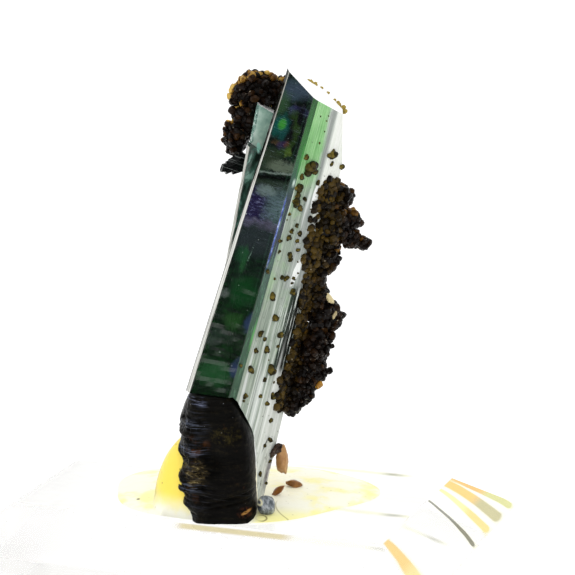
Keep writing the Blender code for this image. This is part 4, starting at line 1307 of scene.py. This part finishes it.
def lobeGrains(lobes, rng):
    # Points spread over each ellipsoid by the golden angle, without those inside another lobe
    golden = math.pi * (3 - math.sqrt(5))
    power = 1.6  # of the usual formula for an ellipsoid's area
    kept, glow = [], []
    for index, lobe in enumerate(lobes):
        centre, half = np.array(lobe[:3]), np.array(lobe[3:])
        area = 4 * math.pi * np.mean((half * np.roll(half, -1)) ** power) ** (1 / power)
        count = max(10, round(area / crusts["spacing"] ** 2))
        step = np.arange(count)
        level = 1 - 2 * (step + 0.5) / count
        around = golden * step + rng.uniform(0, math.tau)
        ring = np.sqrt(1 - level**2)
        ball = np.stack([ring * np.cos(around), ring * np.sin(around), level], -1)
        ball += rng.normal(scale=crusts["jitter"], size=ball.shape)
        reach = 0.94 + 0.18 * lumps(centre + half * ball, 0.9, 31, 2)[:, None]
        reach = np.minimum(reach + rng.uniform(-0.06, 0.06, (count, 1)), 1.03)
        points = centre + half * ball * reach
        free = np.ones(count, bool)
        for other in range(len(lobes)):
            if other != index:
                gap = (points - np.array(lobes[other][:3])) / np.array(lobes[other][3:])
                free &= np.linalg.norm(gap, axis=1) > crusts["lobeOverlap"]
        free &= ~insideCrystal(points, crusts["depthInCrystal"])
        kept.append(points[free])
        # Each kept grain's glow, for the painted backlight: higher at the lobe's edges as seen from the
        # front, and on the lit upper left
        edge = np.hypot(ball[free, 0], ball[free, 2])
        glow.append(edge * (0.80 + 0.20 * (ball[free] @ np.array(crusts["lit"]))))
    return np.concatenate(kept), np.concatenate(glow)


def faceSpot(height, share):
    # A point on the cleavage face, which bends at its middle corner
    start, bend, end = (np.array(prism[key]) for key in ("broadStart", "broadBend", "broadEnd"))
    straight = start + (end - start) * share[:, None]
    outward = outwardOf(start, end)
    bulge = (bend - start) @ outward
    peak = (bend - start) @ (end - start) / ((end - start) @ (end - start))
    lift = bulge * np.clip(np.minimum(share / peak, (1 - share) / (1 - peak)), 0, 1)
    flat = (straight + outward * lift[:, None]) * taperAt(height)[:, None]
    return np.column_stack([flat, height])


def borderGrains(border, rng):
    # Grains strewn over the cleavage face, from the crust's border to the face's right edge
    level, edge = np.array(border).T
    height = rng.uniform(level[0], level[-1], crusts["strewn"])
    ragged = lumps(np.stack([height, height * 0, height * 0], -1), 0.6, 51, 2)
    inner = np.interp(height, level, edge) + 0.05 * ragged
    share = inner + (0.99 - inner) * rng.uniform(0, 1, crusts["strewn"])
    return faceSpot(height, share)


def ball(rows, columns):
    # A unit ball's rings from pole to pole, and its faces
    fall = np.linspace(math.pi, 0, rows + 2)[1:-1, None]
    around = np.linspace(0, math.tau, columns, endpoint=False)[None, :]
    x, y = np.sin(fall) * np.cos(around), np.sin(fall) * np.sin(around)
    points = np.stack([x, y, np.cos(fall) + around * 0], -1).reshape(-1, 3)
    points = np.concatenate([points, [[0, 0, -1.0]], [[0, 0, 1.0]]])
    low = rows * columns
    fans = fanFaces(0, columns, low, inward=True) + fanFaces(low - columns, columns, low + 1)
    return points, gridFaces(rows, columns), fans


ballPoints, ballQuads, ballFans = ball(14, 20)


def sideriteFinish(name, shine, olive=0.0, lone=0.0):
    # Black-brown, with amber where light comes through at the edges, and olive on the crystal's side
    finish = Finish(name)
    point = finish.place()
    tone, glow = finish.attribute("tone"), finish.attribute("glow")
    across = finish.along(point, stand["crystalFoot"], crystalAxes[0])
    mottled = finish.noise(point, 2.4, 4.0, 0.6)
    patch = finish.noise(point, 0.60, 3.0)
    warm = glow.smooth(0.74, 1.02) * patch.smooth(0.36, 0.54) * shine
    warm = warm + tone ** 2.5 * 0.26 + (mottled - 0.5) * 0.36
    colour = finish.ramp(
        warm, (0.02, 11, 6, 4), (0.20, 31, 18, 8), (0.40, 74, 47, 15), (0.62, 140, 100, 34),
        (0.90, 210, 174, 90),
    )
    green = finish.ramp(tone * 0.5 + mottled * 0.6, (0.30, 12, 8, 4), (0.52, 38, 29, 10), (0.80, 88, 70, 24))
    inner = 1 - (across + (patch - 0.5) * 3.0).smooth(2.6, 4.2)
    colour = finish.mix(inner * olive, colour, green)
    if lone:
        clear = tone * 0.6 + mottled * 0.5
        clear = finish.ramp(clear, (0.30, 24, 22, 7), (0.58, 56, 50, 15), (0.85, 112, 98, 38))
        # Painted shade: each grain darker at its rim, where it turns away from the view
        thin = finish.node("ShaderNodeLayerWeight", None, {"Blend": 0.40}, out="Facing")
        rimShade = thin.smooth(0.14, 0.48)
        colour = finish.mix(lone, colour, finish.mix(rimShade, clear, rgb(22, 20, 7)))
        # Painted backlight: gold on the grains with the most glow, along the top's back edge
        gold = finish.mix(mottled, rgb(120, 98, 34), rgb(206, 184, 96))
        colour = finish.mix(glow.smooth(0.95, 1.05), colour, gold)
    glint = 1 - finish.cells(point, 1.9).smooth(0.05, 0.17)
    glint = glint * mottled.smooth(0.50, 0.62) * (1 - lone) * 0.8
    colour = finish.mix(glint, colour, rgb(196, 184, 160))
    normal = finish.bump(finish.noise(point, 6.0, 3.0), 0.35, 0.05)
    return finish.show(finish.principled(
        Base_Color=colour, Roughness=0.32, IOR=1.23, Transmission_Weight=0.10, Normal=normal,
    ))


def makeCrust(name):
    # Dark ellipsoid cores under a crowd of grains
    spec = crusts[name]
    rng = np.random.default_rng(spec["seed"])
    centres, glow = lobeGrains(spec["lobes"], rng)
    if "border" in spec:
        added = borderGrains(spec["border"], rng)
        centres = np.concatenate([centres, added])
        glow = np.concatenate([glow, np.full(len(added), 0.5)])
    sizes = rng.uniform(*crusts["grain"], len(centres))
    points, faces = scatter(centres, sizes, rng)
    tone = np.repeat(rng.uniform(0, 1, len(centres)), len(grainPoints))
    rim = np.repeat(glow, len(grainPoints))
    fans = []
    for lobe in spec["lobes"]:
        first = len(points)
        core = ballPoints * np.array(lobe[3:]) * crusts["coreShare"] + np.array(lobe[:3])
        points = np.concatenate([points, core])
        faces = np.concatenate([faces, ballQuads + first])
        fans += [[index + first for index in fan] for fan in ballFans]
        tone = np.concatenate([tone, np.zeros(len(core))])
        rim = np.concatenate([rim, np.zeros(len(core))])
    finish = sideriteFinish("siderite " + name, spec["shine"], spec["olive"])
    addPiece(
        "siderite_" + name + "_grains", fromCrystal(points), faces, finish, [spec["node"]],
        smooth=False, polygons=fans, attributes={"tone": ("POINT", tone), "glow": ("POINT", rim)},
    )


makeCrust("crown")
makeCrust("flank")

# Lone grains on the cleavage face: height along the prism, share of the way across, width. Along the rim of
# the top: share of the way round its back edge, width
loneGrains = {
    "face": [
        (29.3, 0.66, 0.90), (28.6, 0.72, 0.44), (28.4, 0.98, 0.56), (28.9, 0.08, 0.52), (28.2, 0.24, 1.42),
        (27.4, 0.10, 0.58), (27.1, 0.50, 0.46), (26.6, 0.09, 0.80), (25.8, 0.29, 0.48), (25.5, 0.13, 0.95),
        (25.1, 0.24, 0.62), (24.5, 0.05, 0.31), (24.1, 0.03, 0.15), (23.7, 0.27, 0.38), (23.2, 0.19, 0.46),
        (23.1, 0.39, 0.54), (22.7, 0.17, 0.54), (22.5, 0.36, 0.38), (22.4, 0.01, 0.38), (21.8, 0.43, 0.46),
        (21.6, 0.05, 0.31), (21.4, 0.30, 0.54), (21.0, 0.33, 0.46), (20.0, -0.07, 0.38), (19.6, 0.25, 0.46),
        (19.6, 0.35, 0.54), (19.5, 0.11, 0.23), (19.2, 0.49, 0.31), (18.5, 0.54, 0.62), (18.1, 0.16, 0.69),
        (16.5, 0.32, 0.69), (15.2, 0.12, 0.62), (15.1, 0.51, 0.62), (14.7, 0.24, 0.38), (14.2, 0.53, 0.31),
        (13.8, 0.12, 0.46), (13.9, 0.33, 0.62), (13.1, 0.42, 0.15), (12.6, -0.08, 0.31), (12.3, 0.12, 0.69),
        (12.3, 0.51, 0.92), (11.5, 0.44, 0.46), (11.3, 0.64, 0.23), (10.2, 0.15, 0.46), (9.8, 0.15, 0.26),
        (10.2, 0.43, 0.38), (10.2, 0.68, 0.62), (9.6, 0.60, 0.46), (8.2, 0.77, 0.46), (6.6, 0.85, 0.46),
        (6.1, 0.77, 0.35), (3.8, 0.82, 0.46), (32.1, 0.16, 0.14), (32.2, 0.35, 0.12), (31.8, 0.33, 0.13),
        (31.0, 0.35, 0.12), (30.1, 0.30, 0.20), (25.6, 0.50, 0.16), (26.3, 0.52, 0.14), (25.0, 0.49, 0.14),
        (20.9, 0.50, 0.16), (19.6, 0.50, 0.34), (20.0, 0.57, 0.18), (4.8, 0.95, 0.34), (3.0, 0.97, 0.30),
        (26.0, 0.12, 0.62),
    ],
    "rim": [
        (0.32, 0.30), (0.36, 0.44), (0.41, 0.40), (0.50, 0.30), (0.60, 0.32), (0.71, 0.34),
        (0.77, 0.52), (0.83, 0.56), (0.88, 0.50),
    ],
    "rimMiddle": 0.55,
    "large": 0.80,
    "copies": 5,
    "small": (0.40, 0.62),
    "spread": 0.30,
    "seed": 11,
}


def rimSpot(share):
    # A point along the back edge of the termination
    left, middle, right = (np.array(prism[key]) for key in ("backLeft", "backMiddle", "broadEnd"))
    turn = loneGrains["rimMiddle"]
    first = left + (middle - left) * (share / turn)[:, None]
    second = middle + (right - middle) * ((share - turn) / (1 - turn))[:, None]
    flat = np.where((share < turn)[:, None], first, second) * taperAt(prism["topHeight"])
    height = prism["topHeight"] + prism["topFall"] * flat[:, 0] + prism["topBackRise"] * flat[:, 1]
    return np.column_stack([flat, height])


def makeLoneGrains():
    # Each grain is a knot of one large and a few smaller rhombs
    rng = np.random.default_rng(loneGrains["seed"])
    height, share, width = np.array(loneGrains["face"]).T
    rimShare, rimWidth = np.array(loneGrains["rim"]).T
    centres = np.concatenate([faceSpot(height, share), rimSpot(rimShare)])
    widths = np.concatenate([width, rimWidth])
    golden = np.concatenate([np.zeros(len(width)), np.ones(len(rimWidth))])
    knots = [centres]
    sizes = [widths * loneGrains["large"]]
    for _ in range(loneGrains["copies"]):
        offset = rng.normal(size=centres.shape)
        offset[:, 1] *= 0.4
        offset /= np.linalg.norm(offset, axis=1, keepdims=True)
        knots.append(centres + offset * widths[:, None] * loneGrains["spread"])
        sizes.append(widths * rng.uniform(*loneGrains["small"], len(widths)))
    places, widths = np.concatenate(knots), np.concatenate(sizes)
    points, faces = scatter(places, widths, rng)
    tone = np.repeat(rng.uniform(0.3, 1, len(places)), len(grainPoints))
    # Grains on the top's rim get more glow, so they take the painted backlight
    glow = np.repeat(0.80 + 0.3 * np.tile(golden, len(knots)), len(grainPoints))
    finish = sideriteFinish("siderite grains", 0.9, lone=1.0)
    addPiece(
        "lone_grains", fromCrystal(points), faces, finish, [],
        attributes={"tone": ("POINT", tone), "glow": ("POINT", glow)},
    )


makeLoneGrains()

# The small dark crystal: each block's centre, half widths, length and turns
darkPrism = {
    "blocks": [
        ((-5.00, 1.45, 26.52), (0.44, 0.36), 1.95, (12.0, -128.0)),
        ((-5.62, 1.25, 26.10), (0.30, 0.26), 0.80, (20.0, -112.0)),
        ((-5.20, 1.10, 26.85), (0.22, 0.20), 1.10, (4.0, -134.0)),
        ((-4.70, 1.30, 26.20), (0.26, 0.24), 1.00, (16.0, -120.0)),
    ],
    "section": [(-1, -0.6), (-0.6, -1), (0.7, -1), (1, -0.7), (1, 0.7), (0.6, 1), (-0.7, 1), (-1, 0.6)],
    "sideColumns": 9,
    "rows": 12,
    "groove": 0.09,
    "chiselDrop": 0.18,
    "chiselSlope": 0.5,
}


def darkFinish():
    # Black with a few silvery lines along it
    finish = Finish("dark mineral")
    point = finish.place()
    line = finish.along(point, stand["crystalFoot"], crystalAxes[0])
    other = finish.along(point, stand["crystalFoot"], crystalAxes[2])
    thread = finish.noise(finish.vector(line * 0.5 + other * 6.0, other * 0.6), 1.0, 4.0)
    colour = finish.ramp(
        thread, (0.40, 3, 4, 4), (0.56, 9, 11, 10), (0.62, 120, 126, 122), (0.69, 226, 230, 226),
    )
    return finish.show(finish.principled(
        Base_Color=colour, Roughness=0.16, IOR=1.24, Normal=finish.bump(thread, 0.4, 0.05)
    ))


def turnMatrix(aboutX, aboutY, aboutZ=0.0):
    # Turns about X, then Y, then Z
    a, b, c = (math.radians(angle) for angle in (aboutX, aboutY, aboutZ))
    x = np.array([[1, 0, 0], [0, math.cos(a), -math.sin(a)], [0, math.sin(a), math.cos(a)]])
    y = np.array([[math.cos(b), 0, math.sin(b)], [0, 1, 0], [-math.sin(b), 0, math.cos(b)]])
    z = np.array([[math.cos(c), -math.sin(c), 0], [math.sin(c), math.cos(c), 0], [0, 0, 1]])
    return z @ y @ x


def makeDarkCrystal():
    # Cut-cornered sections with small grooves, each carried along a short straight line to a chisel end
    corners = np.array(darkPrism["section"])
    share = np.linspace(0.02, 0.98, darkPrism["sideColumns"])[None, :, None]
    section = (corners[:, None] + (np.roll(corners, -1, axis=0) - corners)[:, None] * share).reshape(-1, 2)
    rows, count = darkPrism["rows"], len(section)
    points, faces, ends = [], [], []
    for index, (centre, halves, length, turn) in enumerate(darkPrism["blocks"]):
        groove = 1 - darkPrism["groove"] * hashedSteps(np.arange(count), 4 + index)
        ring = section * groove[:, None] * np.array(halves)
        half = length / 2
        top = half - darkPrism["chiselDrop"] * length / 2 - darkPrism["chiselSlope"] * ring[:, 0]
        top = np.minimum(half, top)
        z = -half + (top + half) * np.linspace(0, 1, rows)[:, None]
        block = np.stack([np.broadcast_to(ring[:, 0], z.shape), np.broadcast_to(ring[:, 1], z.shape), z], -1)
        first = index * rows * count
        points.append(block.reshape(-1, 3) @ turnMatrix(*turn).T + np.array(centre))
        faces.append(gridFaces(rows, count, first=first))
        last = first + (rows - 1) * count
        ends += [list(range(first, first + count))[::-1], list(range(last, last + count))]
    addPiece(
        "dark_prism", fromCrystal(np.concatenate(points)), np.concatenate(faces), darkFinish(),
        ["dark_crystal"], smooth=False, polygons=ends,
    )


makeDarkCrystal()

# Mounting wax
wax = {
    "centre": (1.0, 5.30),
    "half": (10.3, 7.55),
    "rise": 0.75,
    "moundCentre": (-1.85, 1.1),
    "moundHalf": (3.85, 3.3),
    "moundRise": 6.3,
    "waves": [(3, 0.045, 0.6), (5, 0.03, 2.1)],
    "rows": 130,
    "columns": 240,
    "drawnArc": (6.98, 0.46),
    "arcRadius": 3.32,
    "droplet": (2.60, -2.0),
    "dropletRadius": 0.42,
    "fleck": (-7.0, 2.5),
    "glow": 0.06,
}


def waxFinish():
    # Pale where it is thin and yellow where it is thick, with a few marks on the puddle
    finish = Finish("mounting wax")
    point = finish.place()
    across, away, height = (finish.along(point, stand["rootFoot"], axis) for axis in rootAxes)
    cloud = finish.noise(point, 0.35, 4.0)
    thick = (height + (cloud - 0.5) * 1.2).smooth(0.3, 2.2)
    colour = finish.mix(thick, rgb(255, 254, 236), rgb(252, 228, 98))
    colour = finish.mix(cloud.smooth(0.50, 0.66) * (1 - thick) * 0.75, colour, rgb(255, 248, 150))
    brink = away.fall(-1.9, 0.6) * across.smooth(1.6, 2.6) * (1 - thick)
    colour = finish.mix(brink * 0.75, colour, rgb(255, 249, 150))
    speck = 1 - finish.cells(point, 1.5).smooth(0.05, 0.16)
    colour = finish.mix(speck * (0.25 + thick * 0.45), colour, rgb(110, 92, 40))
    grazing = finish.node("ShaderNodeLayerWeight", None, {"Blend": 0.5}, out="Facing")
    colour = finish.mix(grazing.smooth(0.80, 0.98) * thick * 0.8, colour, rgb(176, 166, 76))
    drawn = distance(across, away, wax["drawnArc"]).near(wax["arcRadius"], 0.11)
    drawn = drawn * across.fall(5.5, 6.2) * away.fall(0.6, 1.6)
    colour = finish.mix(drawn * 0.6, colour, rgb(150, 140, 80))
    drop = distance(across, away, wax["droplet"]).near(wax["dropletRadius"], 0.12)
    half = across.smooth(2.3, 2.8) * 0.7 + 0.15
    colour = finish.mix(drop * half, colour, rgb(120, 108, 60))
    fleck = distance(across, away, wax["fleck"]).smooth(0.06, 0.20)
    colour = finish.mix(1 - fleck, colour, rgb(60, 54, 40))
    ripple = finish.noise(point, 0.6, 3.0)
    return finish.show(finish.principled(
        Base_Color=colour, Roughness=0.25, IOR=1.25, Transmission_Weight=0.10, Emission_Color=colour,
        Emission_Strength=wax["glow"], Normal=finish.bump(ripple, 0.3, 0.3),
    ))


def makeWax():
    # A puddle whose rim waves in and out, and a dome against the root; the higher of the two at each point
    around = np.linspace(0, math.tau, wax["columns"], endpoint=False)[None, :]
    share = np.sin(np.linspace(0, 1, wax["rows"])[::-1, None] * math.pi / 2)
    wave = 1
    for count, depth, phase in wax["waves"]:
        wave = wave + depth * np.sin(count * around + phase)
    x = wax["centre"][0] + wax["half"][0] * share * wave * np.cos(around)
    y = wax["centre"][1] + wax["half"][1] * share * wave * np.sin(around)
    puddle = wax["rise"] * np.sqrt(np.clip(1 - share**2, 0, 1)) ** 1.3 + 0 * x
    puddle = puddle * (1 + 0.10 * lumps(np.stack([x, y, x * 0], -1), 2.2, 41, 2))
    reach = oval(x, y, (*wax["moundCentre"], *wax["moundHalf"]))
    mound = wax["moundRise"] * np.sqrt(np.clip(1 - reach, 0, 1))
    z = (puddle**3 + mound**3) ** (1 / 3) + 0.06
    points = np.stack([x, y, z], -1)
    floor = points[0].copy()
    floor[:, 2] = 0.05
    points = np.concatenate([floor[None], points[:-1]])
    rows, columns = points.shape[:2]
    flat = points.reshape(-1, 3)
    flat = np.concatenate([flat, [[*wax["centre"], float(z[-1, 0])]]])
    fan = fanFaces((rows - 1) * columns, columns, rows * columns)
    addPiece(
        "wax_puddle", fromRoot(flat), gridFaces(rows, columns), waxFinish(), ["mounting_wax"],
        polygons=[*fan, list(range(columns))[::-1]],
    )


makeWax()

# Chips and splinters: a centre, half sizes and turns in the root's or the crystal's frame, and two colours
bits = {
    "chip_flat": {
        "at": (5.05, 4.75, 0.92), "half": (0.72, 0.46, 0.30), "turn": (8, 14, 8), "place": fromRoot,
        "seed": 9, "finish": "flat chip", "pale": (190, 130, 62), "deep": (70, 34, 12),
        "nodes": ["siderite_chip_flat"],
    },
    "chip_leaf": {
        "at": (3.82, 2.60, 0.98), "half": (0.64, 0.40, 0.24), "turn": (10, -38, 0), "place": fromRoot,
        "seed": 9, "finish": "leaf chip", "pale": (178, 112, 40), "deep": (92, 48, 14),
        "nodes": ["siderite_chip_leaf"],
    },
    "tan_splinter": {
        "at": (4.35, 1.75, 5.05), "half": (0.50, 0.42, 1.30), "turn": (4, -20, 10), "place": fromCrystal,
        "seed": 12, "finish": "tan splinter", "pale": (214, 170, 112), "deep": (150, 90, 34),
    },
    "dark_splinter": {
        "at": (3.55, 1.50, 5.65), "half": (0.42, 0.40, 0.75), "turn": (10, 24, 0), "place": fromCrystal,
        "seed": 13, "finish": "dark splinter", "pale": (70, 42, 20), "deep": (10, 6, 4), "slot": "siderite",
        "rough": 0.55,
    },
    "cream_chip": {
        "at": (4.52, 1.30, 18.40), "half": (0.24, 0.22, 0.52), "turn": (0, -52, 0), "place": fromCrystal,
        "seed": 10, "finish": "cream chip", "pale": (244, 232, 190), "deep": (204, 180, 112),
    },
    "pale_chip": {
        "at": (5.22, 1.50, 17.20), "half": (0.18, 0.20, 0.36), "turn": (0, 10, 0), "place": fromCrystal,
        "seed": 9, "finish": "pale chip", "pale": (236, 220, 170), "deep": (120, 96, 44),
    },
    "gold_grain": {
        "at": (5.50, 1.40, 11.60), "half": (0.30, 0.30, 0.36), "turn": (0, 20, 0), "place": fromCrystal,
        "seed": 10, "finish": "gold grain", "pale": (214, 160, 52), "deep": (140, 92, 20),
    },
}
bitFlats = np.array([
    (0.6, 0.7, 0.4), (-0.7, 0.5, 0.5), (0.2, -0.9, 0.4),
    (-0.3, -0.4, -0.85), (0.8, -0.5, -0.3), (-0.75, -0.6, 0.25),
])


def tanFinish(name, pale, deep):
    # Waxy, with darker clouds, fine lines and soft bands along one slant
    finish = Finish(name)
    point = finish.place()
    cloud = finish.noise(point, 1.4, 5.0, 0.7)
    fine = finish.noise(point, 5.0, 4.0, 0.6)
    facing = finish.along(point, (0.0, 0.0, 0.0), (0.5, -0.4, 0.75))
    band = finish.noise(finish.vector(facing * 1.5, 0.0), 1.0, 3.0, 0.6)
    amount = cloud * 0.55 + fine * 0.20 + band * 0.25
    colour = finish.ramp(amount, (0.34, *deep), (0.66, *pale))
    return finish.show(finish.principled(
        Base_Color=colour, Roughness=0.30, IOR=1.45, Transmission_Weight=0.20,
        Normal=finish.bump(cloud * 0.7 + fine * 0.3, 0.6, 0.12),
    ))


def makeBit(name):
    # A lens-shaped splinter: a ball drawn out to its half sizes, with a few flat facets and small lumps
    spec = bits[name]
    points, quads, fans = ball(34, 44)
    flattened = np.clip(points @ bitFlats.T - 0.70, 0, None).max(1, keepdims=True)
    uneven = lumps(points + np.array(spec["at"]), 0.55, spec["seed"], 3)[:, None]
    points = points * (1 - flattened * 0.8) * (1 + spec.get("rough", 0.20) * uneven)
    points = points * np.array(spec["half"]) @ turnMatrix(*spec["turn"]).T + np.array(spec["at"])
    finish = tanFinish(spec["finish"], spec["pale"], spec["deep"])
    addPiece(name + "_piece", spec["place"](points), quads, finish, spec.get("nodes"), polygons=fans)


for bit in bits:
    makeBit(bit)

# The grey nodule in front of the foot
nodule = {
    "centre": (2.98, -1.2, 1.00),
    "radius": 0.68,
    "stretch": (1.05, 0.95, 1.15),
    "lumpiness": 0.20,
    "ring": (2.45, 1.35),
    "ringRadius": 0.20,
}


def noduleFinish():
    # Streaked grey, with a pale ring on its upper left
    finish = Finish("nodule")
    point = finish.place()
    across, away, height = (finish.along(point, stand["rootFoot"], axis) for axis in rootAxes)
    cloud = finish.noise(finish.vector(across * 2.4 + height * 0.6, away, height * 0.8), 1.6, 5.0, 0.65)
    colour = finish.ramp(cloud, (0.32, 44, 50, 54), (0.48, 96, 104, 110), (0.62, 170, 176, 180))
    ring = distance(across, height, nodule["ring"]).near(nodule["ringRadius"], 0.13)
    colour = finish.mix(ring, colour, rgb(246, 240, 200))
    return finish.show(finish.principled(
        Base_Color=colour, Roughness=0.35, IOR=1.5, Normal=finish.bump(cloud, 0.5, 0.15)
    ))


def makeNodule():
    # A lumpy ball
    points, quads, fans = ball(40, 56)
    points = points * (1 + nodule["lumpiness"] * lumps(points, 0.70, 6, 3)[:, None])
    points = points * np.array(nodule["stretch"]) * nodule["radius"] + np.array(nodule["centre"])
    addPiece("nodule_ball", fromRoot(points), quads, noduleFinish(), ["grey_nodule"], polygons=fans)


makeNodule()
